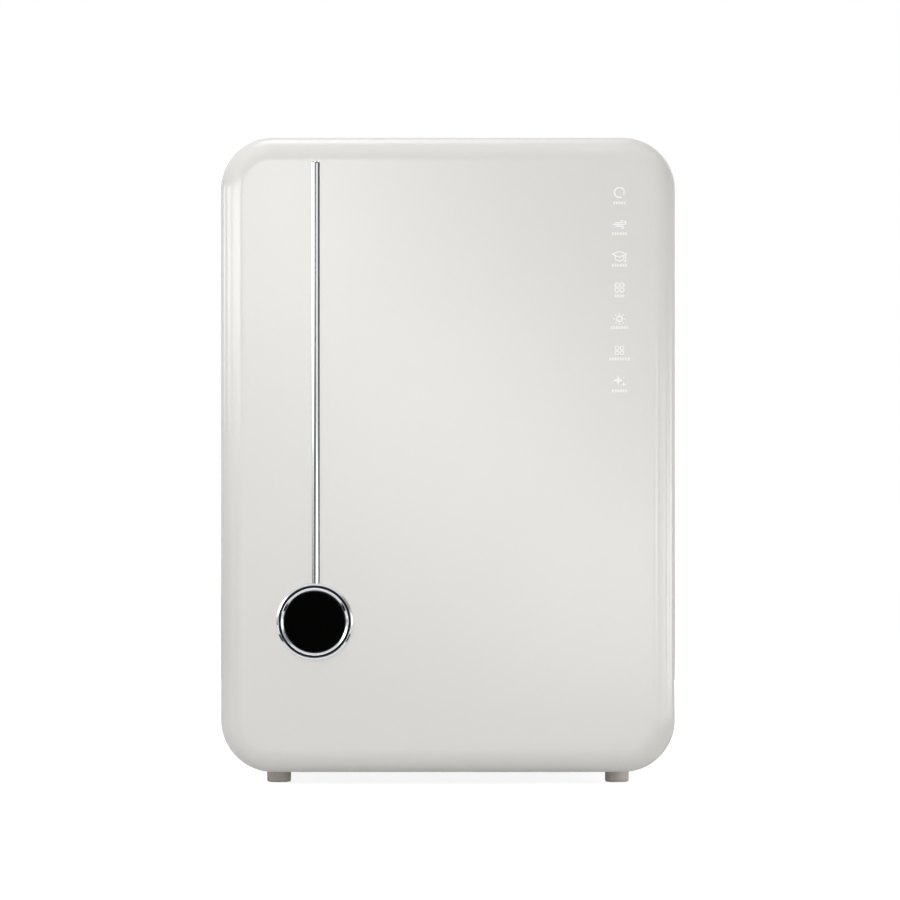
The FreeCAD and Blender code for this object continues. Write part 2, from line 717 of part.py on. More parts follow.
def door_gasket():
    """The silicone seal: a root in the door's groove and a wider lip."""
    lip = gasket_ring(GASKET_BAND, (DOOR_BACK, DOOR_BACK + GASKET_PROUD))
    lip = lip.makeFillet(1.0, edges_at_y(lip, DOOR_BACK + GASKET_PROUD))
    return join([lip, gasket_ring(GASKET_ROOT, (DOOR_BACK - GASKET_ROOT_DEPTH, DOOR_BACK))])


def door_reflector():
    """The polished steel sheet inside the seal."""
    depth = (DOOR_BACK, DOOR_BACK + REFLECTOR_SHEET)
    return round_block(CHAMBER_WIDTH, CHAMBER_HEIGHT, depth, REFLECTOR_CORNER, z=CHAMBER_Z)


def door_screws():
    seat = DOOR_BACK - SCREW_SINK
    return [screw_y(x, z, seat, DOOR_SCREW_LENGTH, -1) for x, z in DOOR_SCREW_PLACES]


def door_magnet():
    """The round magnet glued inside the door, in front of the reed switch."""
    return rod_y(MAGNET_RADIUS, (DOOR_FLOOR - MAGNET_DEPTH, DOOR_FLOOR), *SENSOR_PLACE)


def hinge_bushes():
    """Four plastic bushes in the door, one above and one below each bracket arm."""
    gap = ARM_THICKNESS / 2 + ARM_GAP
    made = []
    for height in HINGE_Z.values():
        for low in (height + gap, height - gap - BUSH_LENGTH):
            ends = (low, low + BUSH_LENGTH)
            sleeve = rod_z(BUSH_RADIUS, ends, HINGE_X, HINGE_Y)
            made.append(sleeve.cut(rod_z(PIN_RADIUS + PIN_CLEARANCE, ends, HINGE_X, HINGE_Y)))
    return made


def strip_bar():
    """The upright trim bar with a ridge along its middle, seated in a groove in the door front."""
    half = STRIP_WIDTH / 2
    low = BUTTON_Z + BEZEL_RADIUS + FIT
    seat = DOOR_FACE + STRIP_SEAT
    side = DOOR_FACE - STRIP_SIDE
    section = [
        Vector(TRIM_X - half, seat, low),
        Vector(TRIM_X - half, side, low),
        Vector(TRIM_X, DOOR_FACE - STRIP_RIDGE, low),
        Vector(TRIM_X + half, side, low),
        Vector(TRIM_X + half, seat, low),
    ]
    return Part.Face(Part.makePolygon(section + section[:1])).extrude(Vector(0, 0, STRIP_TOP - low))


def on_button(half, y_range):
    """A square block on the button's axis."""
    return box((TRIM_X - half, TRIM_X + half), y_range, (BUTTON_Z - half, BUTTON_Z + half))


def button_bezel():
    """The bright fixed ring round the button, with a sleeve that guides it."""
    front = DOOR_FACE - BEZEL_PROUD
    flange = tube_y(BEZEL_RADIUS, BEZEL_BORE, (front, DOOR_FACE), TRIM_X, BUTTON_Z)
    flange = flange.makeFillet(BRIGHT_EDGE_ROUND, edges_at_y(flange, front))
    sleeve = tube_y(BEZEL_SLEEVE, BEZEL_BORE, (DOOR_FACE, DOOR_FACE + BEZEL_DEPTH), TRIM_X, BUTTON_Z)
    return join([flange, sleeve])


def button_guide():
    """The plate behind the button, on four posts, with a square hole for the stem."""
    depth = (GUIDE_FRONT, GUIDE_FRONT + GUIDE_THICKNESS)
    plate = on_button(GUIDE_HALF, depth).cut(on_button(STEM_WIDTH / 2 + GUIDE_PLAY, depth))
    posts = []
    for x in (TRIM_X - GUIDE_POST, TRIM_X + GUIDE_POST):
        for z in (BUTTON_Z - GUIDE_POST, BUTTON_Z + GUIDE_POST):
            posts.append(rod_y(GUIDE_POST_RADIUS, (DOOR_FACE + WALL, GUIDE_FRONT), x, z))
    return join([plate] + posts)


def touch_board():
    """The circuit board behind the symbols, with a chip and a connector."""
    back = TOUCH_BOARD_BACK
    sides = (ICON_X - TOUCH_BOARD_HALF, ICON_X + TOUCH_BOARD_HALF)
    board = box(sides, (back - BOARD_SHEET, back), TOUCH_BOARD)
    chip = box((ICON_X - 5, ICON_X + 5), (back, back + 1.5), (350.0, 360.0))
    socket = box((ICON_X - 8, ICON_X + 8), (back, back + 5.0), (285.0, 291.0))
    return join([board, chip, socket])


def light_guide():
    """The clear strip that leads light to the seven symbols."""
    front = DOOR_FACE + WALL
    sides = (ICON_X - GUIDE_STRIP_HALF, ICON_X + GUIDE_STRIP_HALF)
    strip = box(sides, (front, front + GUIDE_STRIP_DEPTH), GUIDE_STRIP)
    studs = [rod_y(ICON_RADIUS, (DOOR_FACE + ICON_SKIN + 0.1, front), ICON_X, z) for z in ICON_Z]
    return join([strip] + studs)


# Button

def button_ring():
    ring = tube_y(RING_RADIUS, DISC_RADIUS + 0.1, (FRONT, RING_BACK), TRIM_X, BUTTON_Z)
    return ring.makeFillet(BRIGHT_EDGE_ROUND, edges_at_y(ring, FRONT))


def button_disc():
    return rod_y(DISC_RADIUS, (FRONT + DISC_SINK, DISC_BACK), TRIM_X, BUTTON_Z)


def button_plunger():
    """The carrier behind the disc, its square stem and the wedge that moves the latch."""
    seat = rod_y(DISC_RADIUS, (DISC_BACK, RING_BACK), TRIM_X, BUTTON_Z)
    carrier = rod_y(CARRIER_RADIUS, (RING_BACK, CARRIER_BACK), TRIM_X, BUTTON_Z)
    half = STEM_WIDTH / 2
    slope_front = LATCH_FRONT - STEM_LEAD
    slope_back = slope_front + half
    stem = on_button(half, (CARRIER_BACK, slope_back))
    slope = [
        Vector(TRIM_X + half, slope_front, BUTTON_Z - half),
        Vector(TRIM_X + half, slope_back, BUTTON_Z - half),
        Vector(TRIM_X, slope_back, BUTTON_Z - half),
    ]
    offcut = Part.Face(Part.makePolygon(slope + slope[:1])).extrude(Vector(0, 0, STEM_WIDTH))
    return join([seat, carrier, stem]).cut(offcut)


def button_spring():
    """The coil that pushes the button back out, round the stem."""
    return coil(
        Vector(TRIM_X, CARRIER_BACK + 0.7, BUTTON_Z), Vector(0, 1, 0), Vector(1, 0, 0),
        SPRING_RADIUS, SPRING_WIRE, SPRING_TURNS, GUIDE_FRONT - CARRIER_BACK - 1.4,
    )


# Latch

def latch_slider():
    """The sliding plate with a sloped window for the wedge and a hook through the panel."""
    half = LATCH_HEIGHT / 2
    depth = (LATCH_FRONT, LATCH_BACK)
    plate = box((LATCH_LEFT, LATCH_RIGHT), depth, (BUTTON_Z - half, BUTTON_Z + half))
    wedge_line = TRIM_X + STEM_WIDTH / 2 + LATCH_FRONT - STEM_LEAD + WEDGE_GAP * math.sqrt(2)
    window_left = TRIM_X - STEM_WIDTH / 2 - BUTTON_TRAVEL - 1.4
    opening = STEM_WIDTH / 2 + 0.5
    window = [
        Vector(window_left, LATCH_FRONT, BUTTON_Z - opening),
        Vector(wedge_line - LATCH_FRONT, LATCH_FRONT, BUTTON_Z - opening),
        Vector(wedge_line - LATCH_BACK, LATCH_BACK, BUTTON_Z - opening),
        Vector(window_left, LATCH_BACK, BUTTON_Z - opening),
    ]
    cut = Part.Face(Part.makePolygon(window + window[:1])).extrude(Vector(0, 0, 2 * opening))
    hook_z = (BUTTON_Z - HOOK_HEIGHT / 2, BUTTON_Z + HOOK_HEIGHT / 2)
    nose_front = STRIKER_BACK + HOOK_GAP
    nose_back = nose_front + HOOK_DEPTH
    arm = box(HOOK_ARM, (LATCH_BACK - 1.0, nose_back), hook_z)
    nose = box((HOOK_NOSE_LEFT, HOOK_ARM[0] + 1.0), (nose_front, nose_back), hook_z)
    nose = nose.makeChamfer(HOOK_SLOPE, [
        edge for edge in edges_along(nose, 2)
        if edge.BoundBox.XMin < HOOK_NOSE_LEFT + 0.1 and edge.BoundBox.YMin > nose_back - 0.1
    ])
    return join([plate.cut(cut), arm, nose])


def latch_spring():
    """The small coil that pushes the latch back under the striker."""
    return coil(
        Vector(LATCH_RIGHT + 0.5, (LATCH_FRONT + LATCH_BACK) / 2, BUTTON_Z), Vector(1, 0, 0),
        Vector(0, 0, 1), LATCH_SPRING_RADIUS, LATCH_SPRING_WIRE, LATCH_SPRING_TURNS,
        SPRING_STOP - LATCH_RIGHT - 1.0,
    )


# Chamber

def liner_wrap():
    """The polished steel sheet bent round the chamber, with a hole for the lamp above."""
    wrap = round_frame(
        (CHAMBER_WIDTH + 2 * SHEET, CHAMBER_HEIGHT + 2 * SHEET),
        (CHAMBER_WIDTH, CHAMBER_HEIGHT),
        (FRAME_BACK + FIT, BACK_SHEET_REAR),
        CHAMBER_RADIUS + SHEET,
        CHAMBER_RADIUS,
        z=CHAMBER_Z,
    )
    half_x, half_y = TOP_UV_SIZE[0] / 2, TOP_UV_SIZE[1] / 2
    return wrap.cut(box((-half_x, half_x), (-half_y, half_y), (CHAMBER_TOP - 5, CHAMBER_TOP + 5)))


def air_slots(x, z, rows, width):
    """A column of level slots through the liner's back."""
    made = []
    half = AIR_SLOT_HEIGHT / 2
    for row in range(rows):
        height = z + (row - (rows - 1) / 2) * AIR_SLOT_PITCH
        made.append(box(
            (x - width / 2, x + width / 2), (CHAMBER_BACK, BACK_SHEET_REAR), (height - half, height + half)
        ))
    return made


def liner_back():
    """The chamber's back sheet, with warm air slots, exhaust slots and a lamp window."""
    depth = (CHAMBER_BACK, BACK_SHEET_REAR)
    size = (CHAMBER_WIDTH - 2 * FIT, CHAMBER_HEIGHT - 2 * FIT)
    back = round_block(*size, depth, CHAMBER_RADIUS - FIT, z=CHAMBER_Z)
    half_x, half_z = REAR_UV_SIZE[0] / 2, REAR_UV_SIZE[1] / 2
    lamp = box((-half_x, half_x), depth, (REAR_UV_Z - half_z, REAR_UV_Z + half_z))
    return back.cut([lamp] + air_slots(FAN_X, FAN_Z, 8, 64.0) + air_slots(EXHAUST_X, EXHAUST_Z, 6, 60.0))


def rack_rail(side):
    """A side ladder: two upright straps and two ledges that the racks slide on."""
    wall_x = side * CHAMBER_HALF
    strap = sorted((wall_x, wall_x - side * RAIL_SHEET))
    strap_z = (RAIL_TOP["lower"] - STRAP_OVERHANG, RAIL_TOP["upper"] + STRAP_OVERHANG)
    pieces = [box(strap, (y - STRAP_HALF, y + STRAP_HALF), strap_z) for y in STRAP_Y]
    for top in RAIL_TOP.values():
        ledge = sorted((wall_x, wall_x - side * RAIL_REACH))
        lip = sorted((wall_x - side * (RAIL_REACH - RAIL_SHEET), wall_x - side * RAIL_REACH))
        pieces.append(box(ledge, RAIL_ENDS, (top - RAIL_SHEET, top)))
        pieces.append(box(lip, RAIL_ENDS, (top - RAIL_LIP, top)))
    return join(pieces)


def wire_loop(half_x, half_y, z):
    """A closed ring of frame wire with round corners."""
    corners = [(half_x, -half_y), (half_x, half_y), (-half_x, half_y), (-half_x, -half_y)]
    path = [Vector(0, -half_y, z)] + [Vector(x, y, z) for x, y in corners] + [Vector(0, -half_y, z)]
    return wire_along(bent_path(path, RIM_BEND), FRAME_WIRE)


def bar_places():
    return [(step - (BAR_COUNT - 1) / 2) * BAR_PITCH for step in range(BAR_COUNT)]


def rack_floor(level):
    """A rack's flat grille: a wire frame, bars from front to back and three cross bars below them."""
    z = RAIL_TOP[level] + RACK_PLAY + FRAME_WIRE
    x_end = RACK_HALF_WIDTH - FRAME_WIRE
    y_end = RACK_HALF_DEPTH - FRAME_WIRE
    pieces = [wire_loop(x_end, y_end, z)]
    for x in bar_places():
        pieces.append(rod_y(BAR_WIRE, (-y_end, y_end), x, z))
    for y in CROSS_BAR_Y:
        below = Vector(-CROSS_BAR_REACH, y, z - CROSS_BAR_DROP)
        pieces.append(Part.makeCylinder(BAR_WIRE, 2 * CROSS_BAR_REACH, below, Vector(1, 0, 0)))
    return join(pieces)


def rack_rim(level):
    """A rack's raised rim on leaning uprights, in eight lengths: four sides and four corners."""
    low = RAIL_TOP[level] + RACK_PLAY + FRAME_WIRE
    high = low + RIM_RISE[level]
    x_end = RACK_HALF_WIDTH - FRAME_WIRE
    y_end = RACK_HALF_DEPTH - FRAME_WIRE
    rim_x = x_end - RIM_LEAN
    rim_y = y_end - RIM_LEAN
    runs = []
    for x in bar_places()[::2]:
        for side in (-1, 1):
            runs.append((Vector(x, side * y_end, low), Vector(x, side * rim_y, high)))
    for y in SIDE_UPRIGHT_Y:
        for side in (-1, 1):
            runs.append((Vector(side * x_end, y, low), Vector(side * rim_x, y, high)))
    uprights = [Part.makeCylinder(BAR_WIRE, (head - foot).Length, foot, head - foot) for foot, head in runs]
    whole = join([wire_loop(rim_x, rim_y, high)] + uprights).cut(rack_floor(level))
    cut_x = rim_x - RIM_BEND + RIM_CUT_STEP
    cut_y = rim_y - RIM_BEND
    lengths = []
    for x_range in ((-WIDTH, -cut_x), (-cut_x, cut_x), (cut_x, WIDTH)):
        for y_range in ((-DEPTH, -cut_y), (-cut_y, cut_y), (cut_y, DEPTH)):
            lengths += whole.common(box(x_range, y_range, (0.0, HEIGHT))).Solids
    return lengths


def drip_tray():
    """The shallow tray on the chamber floor."""
    top = TRAY_Z + TRAY_HEIGHT
    tray = box((-TRAY_HALF_WIDTH, TRAY_HALF_WIDTH), TRAY_ENDS, (TRAY_Z, top))
    tray = tray.makeFillet(TRAY_CORNER, edges_along(tray, 2))
    half = TRAY_HALF_WIDTH - TRAY_WALL
    inside = (TRAY_ENDS[0] + TRAY_WALL, TRAY_ENDS[1] - TRAY_WALL)
    hollow = box((-half, half), inside, (TRAY_Z + TRAY_WALL, top))
    return tray.cut(hollow.makeFillet(TRAY_CORNER - TRAY_WALL, edges_along(hollow, 2)))


# Ultraviolet modules

def ceiling_block(margin, low, high):
    """A block over the ceiling lamp, wider all round by a margin, between two heights above the liner."""
    half_x = TOP_UV_SIZE[0] / 2 + margin
    half_y = TOP_UV_SIZE[1] / 2 + margin
    base = CHAMBER_TOP + SHEET
    return box((-half_x, half_x), (-half_y, half_y), (base + low, base + high))


def rear_block(margin, low, high):
    """A block behind the rear lamp, wider all round by a margin, between two depths behind the liner."""
    half_x = REAR_UV_SIZE[0] / 2 + margin
    half_z = REAR_UV_SIZE[1] / 2 + margin
    depth = (BACK_SHEET_REAR + low, BACK_SHEET_REAR + high)
    return box((-half_x, half_x), depth, (REAR_UV_Z - half_z, REAR_UV_Z + half_z))


def top_uv_housing():
    outer = ceiling_block(UV_BOX_PLAY + UV_BOX_WALL, 0.0, UV_BOX_DEPTH)
    return outer.cut(ceiling_block(UV_BOX_PLAY, 0.0, UV_BOARD_DEPTH))


def top_uv_window():
    """The clear plate over the ceiling lamp."""
    return ceiling_block(UV_GLASS_LAP, 0.0, UV_GLASS)


def top_uv_board():
    """The lamp board above the ceiling window, with its light-emitting chips."""
    face = UV_BOARD_DEPTH - BOARD_SHEET
    chip_high = CHAMBER_TOP + SHEET + face
    half = UV_CHIP / 2
    columns, pitch, row_y = TOP_CHIPS
    chips = []
    for column in range(columns):
        x = (column - (columns - 1) / 2) * pitch
        for y in (-row_y, row_y):
            chip_z = (chip_high - UV_CHIP_HEIGHT, chip_high)
            chips.append(box((x - half, x + half), (y - half, y + half), chip_z))
    return join([ceiling_block(-UV_BOARD_MARGIN, face, UV_BOARD_DEPTH)] + chips)


def rear_uv_housing():
    outer = rear_block(UV_BOX_PLAY + UV_BOX_WALL, 0.0, UV_BOX_DEPTH)
    outer = outer.makeFillet(UV_BOX_PLAY, edges_along(outer, 1))
    return outer.cut(rear_block(UV_BOX_PLAY, 0.0, UV_BOARD_DEPTH))


def rear_uv_window():
    return rear_block(UV_GLASS_LAP, 0.0, UV_GLASS)


def rear_uv_board():
    """The lamp board behind the rear window, with its light-emitting chips."""
    face = UV_BOARD_DEPTH - BOARD_SHEET
    chip_back = BACK_SHEET_REAR + face
    half = UV_CHIP / 2
    rows, pitch = REAR_CHIPS
    chips = []
    for row in range(rows):
        z = REAR_UV_Z + (row - (rows - 1) / 2) * pitch
        chips.append(box((-half, half), (chip_back - UV_CHIP_HEIGHT, chip_back), (z - half, z + half)))
    return join([rear_block(-UV_BOARD_MARGIN, face, UV_BOARD_DEPTH)] + chips)


# Air path

def square_y(half, y_range):
    """A square block on the fan's axis."""
    return box((FAN_X - half, FAN_X + half), y_range, (FAN_Z - half, FAN_Z + half))


def air_duct():
    """The square sleeve from the fan to the chamber's back, round the heater."""
    depth = (BACK_SHEET_REAR, FAN_FRONT)
    return square_y(FAN_SIZE / 2, depth).cut(square_y(FAN_SIZE / 2 - DUCT_WALL, depth))


def heater():
    """A finned heating block across the duct."""
    reach = FAN_SIZE / 2 - DUCT_WALL
    pieces = []
    for side in (-1, 1):
        end_bar = sorted((FAN_X + side * reach, FAN_X + side * (reach - 4.0)))
        pieces.append(box(end_bar, HEATER_DEPTH, (FAN_Z - 30.0, FAN_Z + 30.0)))
    for row in range(HEATER_ROWS):
        z = FAN_Z + (row - (HEATER_ROWS - 1) / 2) * HEATER_ROW_PITCH
        pieces.append(box((FAN_X - reach + 1, FAN_X + reach - 1), HEATER_DEPTH, (z - 1.5, z + 1.5)))
    for row in range(HEATER_ROWS - 1):
        z = FAN_Z + (row - (HEATER_ROWS - 2) / 2) * HEATER_ROW_PITCH
        for column in range(FIN_COUNT):
            x = FAN_X + (column - (FIN_COUNT - 1) / 2) * FIN_PITCH
            pieces.append(box((x - FIN_SHEET / 2, x + FIN_SHEET / 2), HEATER_DEPTH, (z - 8.2, z + 8.2)))
    return join(pieces)


def fan_frame():
    """The square fan frame: a round bore, four struts and the bearing tube."""
    depth = (FAN_FRONT, FAN_BACK)
    frame = square_y(FAN_SIZE / 2, depth)
    frame = frame.makeFillet(FAN_CORNER, edges_along(frame, 1))
    frame = frame.cut(rod_y(FAN_BORE, depth, FAN_X, FAN_Z))
    plate = (FAN_FRONT, FAN_FRONT + FAN_PLATE)
    tube = (FAN_FRONT, FAN_FRONT + BEARING_LENGTH)
    added = [rod_y(HUB_RADIUS, plate, FAN_X, FAN_Z), rod_y(BEARING_RADIUS, tube, FAN_X, FAN_Z)]
    for step in range(4):
        strut = box((FAN_X + HUB_RADIUS - 1.5, FAN_X + FAN_BORE + 1.5), plate, (FAN_Z - 1.5, FAN_Z + 1.5))
        strut.rotate(Vector(FAN_X, 0, FAN_Z), Vector(0, 1, 0), 45 + 90 * step)
        added.append(strut)
    cuts = [rod_y(SHAFT_RADIUS + 0.05, (FAN_FRONT + 1.0, tube[1]), FAN_X, FAN_Z)]
    reach, radius = FAN_SCREW
    for x in (-reach, reach):
        for z in (-reach, reach):
            cuts.append(rod_y(radius, depth, FAN_X + x, FAN_Z + z))
    return join([frame] + added).cut(cuts)


def fan_motor():
    """The wound ring round the bearing tube."""
    depth = (FAN_FRONT + FAN_PLATE + 1.0, FAN_FRONT + BEARING_LENGTH - 1.0)
    return tube_y(WINDING_RADIUS, BEARING_RADIUS, depth, FAN_X, FAN_Z)


def fan_impeller():
    """A cup with a shaft and pitched blades, which turns in the frame."""
    back = FAN_BACK - 2.0
    cup = tube_y(CUP_RADIUS, CUP_RADIUS - CUP_WALL, (FAN_FRONT + FAN_PLATE + 1.0, back), FAN_X, FAN_Z)
    lid = rod_y(CUP_RADIUS - CUP_WALL + 0.1, (back - CUP_WALL, back), FAN_X, FAN_Z)
    shaft = rod_y(SHAFT_RADIUS, (FAN_FRONT + 2.0, back - 2.0), FAN_X, FAN_Z)
    middle = (FAN_FRONT + FAN_BACK) / 2 + 1.0
    root = CUP_RADIUS - 1.0
    depth = (FAN_FRONT + FAN_PLATE + 0.1, FAN_BACK)
    reach = tube_y(BLADE_RADIUS, root, depth, FAN_X, FAN_Z)
    blades = []
    for step in range(BLADE_COUNT):
        blade = Part.makeBox(FAN_SIZE / 2 - root, BLADE_SHEET, BLADE_CHORD)
        blade.translate(Vector(root, -BLADE_SHEET / 2, -BLADE_CHORD / 2))
        blade.rotate(Vector(0, 0, 0), Vector(1, 0, 0), BLADE_PITCH)
        blade.rotate(Vector(0, 0, 0), Vector(0, 1, 0), 360 * step / BLADE_COUNT)
        blade.translate(Vector(FAN_X, middle, FAN_Z))
        blades.append(blade.common(reach))
    return join([cup, lid, shaft] + blades)


def exhaust_duct():
    """The sleeve that leads damp air from the chamber's back to the rear cover."""
    depth = (BACK_SHEET_REAR, COVER_FRONT)
    inner = [size - 2 * DUCT_WALL for size in EXHAUST_DUCT]
    return round_frame(EXHAUST_DUCT, inner, depth, 2 * DUCT_WALL, DUCT_WALL, x=EXHAUST_X, z=EXHAUST_Z)


def filter_frame():
    """The slide-out cassette: a box round the medium, a flange and a grille."""
    half = FILTER_SIZE / 2
    front = FAN_BACK + 1.5
    seat = CABINET_BACK + 0.3
    body = square_y(half, (front, seat))
    flange = square_y(half + FILTER_LIP, (seat, seat + FILTER_WALL))
    flange = flange.makeFillet(FILTER_LIP + FILTER_WALL, edges_along(flange, 1))
    hollow = square_y(half - FILTER_WALL, (front, seat + FILTER_WALL))
    bars = []
    for row in range(GRILLE_BARS):
        z = FAN_Z + (row - (GRILLE_BARS - 1) / 2) * GRILLE_PITCH
        bar_z = (z - GRILLE_BAR / 2, z + GRILLE_BAR / 2)
        bars.append(box((FAN_X - half + 1, FAN_X + half - 1), (seat - 0.5, seat + 1.5), bar_z))
    for x in (FAN_X - half / 2, FAN_X, FAN_X + half / 2):
        stay = (x - GRILLE_STAY / 2, x + GRILLE_STAY / 2)
        bars.append(box(stay, (seat - 1.5, seat + 0.2), (FAN_Z - half + 1, FAN_Z + half - 1)))
    tab_z = FAN_Z - half - FILTER_LIP / 2
    tab = box((FAN_X - 12, FAN_X + 12), (seat + FILTER_WALL - 0.1, seat + 6.0), (tab_z - 0.5, tab_z + 1.3))
    return join([join([body, flange]).cut(hollow), tab] + bars)


def filter_medium():
    """The flat mat of filter fibre."""
    return square_y(FILTER_SIZE / 2 - FILTER_WALL - FIT, (FAN_BACK + 1.8, FAN_BACK + 7.8))


# Power and control

def board_on_legs(sides):
    """A bare circuit board between two sides, on four legs on the base plate."""
    low = BASE_TOP + BOARD_LEG
    pieces = [box(sides, BOARD_ENDS, (low, low + BOARD_SHEET))]
    for x in (sides[0] + BOARD_LEG_INSET, sides[1] - BOARD_LEG_INSET):
        for y in (BOARD_ENDS[0] + BOARD_LEG_INSET, BOARD_ENDS[1] - BOARD_LEG_INSET):
            pieces.append(rod_z(BOARD_LEG_RADIUS, (BASE_TOP, low), x, y))
    return pieces


def power_board():
    """The mains board on four legs, with a transformer, capacitors and a heat sink."""
    top = BASE_TOP + BOARD_LEG + BOARD_SHEET
    pieces = board_on_legs(POWER_BOARD_SIDES)
    pieces.append(box((-90.0, -58.0), (50.0, 78.0), (top, top + 26)))
    pieces.append(box((-30.0, -26.0), (40.0, 90.0), (top, top + 28)))
    pieces += [rod_z(7.0, (top, top + 22), x, 96.0) for x in (-84.0, -66.0, -48.0)]
    pieces.append(box((-12.0, 2.0), (30.0, 50.0), (top, top + 14)))
    return join(pieces)


def main_board():
    """The control board on four legs, with a chip, relays and a row of connectors."""
    top = BASE_TOP + BOARD_LEG + BOARD_SHEET
    pieces = board_on_legs(MAIN_BOARD_SIDES)
    pieces.append(box((60.0, 74.0), (55.0, 69.0), (top, top + 2)))
    pieces += [box((x, x + 14), (28.0, 42.0), (top, top + 16)) for x in (40.0, 58.0, 76.0)]
    pieces.append(box((106.0, 118.0), (80.0, 106.0), (top, top + 10)))
    return join(pieces)


def wiring_loom():
    """The sleeved wires from the control board up to the ceiling lamp."""
    height = BASE_FLOOR + 16.0
    lamp_z = CHAMBER_TOP + 11.0
    route = [
        Vector(MAIN_BOARD_SIDES[1], LOOM_Y, height),
        Vector(LOOM_X, LOOM_Y, height),
        Vector(LOOM_X, LOOM_Y, lamp_z),
        Vector(LOOM_X, 0.0, lamp_z),
        Vector(TOP_UV_SIZE[0] / 2 + UV_BOX_PLAY + UV_BOX_WALL, 0.0, lamp_z),
    ]
    return wire_along(bent_path(route, LOOM_BEND), LOOM_RADIUS)


def on_inlet(half, y_range):
    """A block on the inlet's axis, given by half its width and half its height."""
    return box((INLET_X - half[0], INLET_X + half[0]), y_range, (INLET_Z - half[1], INLET_Z + half[1]))


def inlet_socket():
    """The power inlet in the rear cover: a flanged body with a recess."""
    face = CABINET_BACK + INLET_FLANGE_PROUD
    body = on_inlet(INLET_BODY, (INLET_FRONT, CABINET_BACK))
    flange = on_inlet(INLET_FLANGE, (CABINET_BACK, face))
    flange = flange.makeFillet(3.0, edges_along(flange, 1))
    return join([body, flange]).cut(on_inlet(INLET_RECESS, (RECESS_FRONT, face)))


def inlet_pins():
    """The inlet's three flat blades."""
    made = []
    for x, z in BLADE_PLACES:
        blade = on_inlet(BLADE_HALF, (RECESS_FRONT, BLADE_TIP))
        blade.translate(Vector(x, 0.0, z))
        made.append(blade)
    return made


# Export

def build_parts():
    """Every piece under its own name; a list holds identical pieces."""
    return {
        "cabinet_shell": cabinet_shell(),
        "front_frame": front_frame(),
        "rear_cover": rear_cover(),
        "base_plate": base_plate(),
        "feet": feet(),
        "foot_screws": foot_screws(),
        "wall_spacers": wall_spacers(),
        "rear_cover_screws": rear_cover_screws(),
        "frame_screws": frame_screws(),
        "hinge_bracket_upper": hinge_bracket(HINGE_Z["upper"]),
        "hinge_bracket_lower": hinge_bracket(HINGE_Z["lower"]),
        "hinge_pins": hinge_pins(),
        "striker_plate": striker_plate(),
        "reed_switch": reed_switch(),
        "door_outer_shell": door_outer_shell(),
        "door_inner_panel": door_inner_panel(),
        "door_gasket": door_gasket(),
        "door_reflector": door_reflector(),
        "door_screws": door_screws(),
        "door_magnet": door_magnet(),
        "hinge_bushes": hinge_bushes(),
        "chrome_strip": strip_bar(),
        "button_bezel": button_bezel(),
        "button_guide": button_guide(),
        "touch_board": touch_board(),
        "light_guide": light_guide(),
        "button_ring": button_ring(),
        "button_disc": button_disc(),
        "button_plunger": button_plunger(),
        "button_spring": button_spring(),
        "latch_slider": latch_slider(),
        "latch_spring": latch_spring(),
        "liner_wrap": liner_wrap(),
        "liner_back": liner_back(),
        "rack_rail_left": rack_rail(-1),
        "rack_rail_right": rack_rail(1),
        "upper_rack_floor": rack_floor("upper"),
        "upper_rack_rim": rack_rim("upper"),
        "lower_rack_floor": rack_floor("lower"),
        "lower_rack_rim": rack_rim("lower"),
        "drip_tray": drip_tray(),
        "top_uv_housing": top_uv_housing(),
        "top_uv_window": top_uv_window(),
        "top_uv_board": top_uv_board(),
        "rear_uv_housing": rear_uv_housing(),
        "rear_uv_window": rear_uv_window(),
        "rear_uv_board": rear_uv_board(),
        "air_duct": air_duct(),
        "heater": heater(),
        "fan_frame": fan_frame(),
        "fan_motor": fan_motor(),
        "fan_impeller": fan_impeller(),
        "exhaust_duct": exhaust_duct(),
        "filter_frame": filter_frame(),
        "filter_medium": filter_medium(),
        "power_board": power_board(),
        "main_board": main_board(),
        "wiring_loom": wiring_loom(),
        "inlet_socket": inlet_socket(),
        "inlet_pins": inlet_pins(),
    }


os.makedirs("parts", exist_ok=True)
for name, made in build_parts().items():
    shape = Part.makeCompound(made) if isinstance(made, list) else made
    shape.exportStep("parts/" + name + ".step")
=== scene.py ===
import json
import math

import bmesh
import bpy
from mathutils import Matrix, Vector


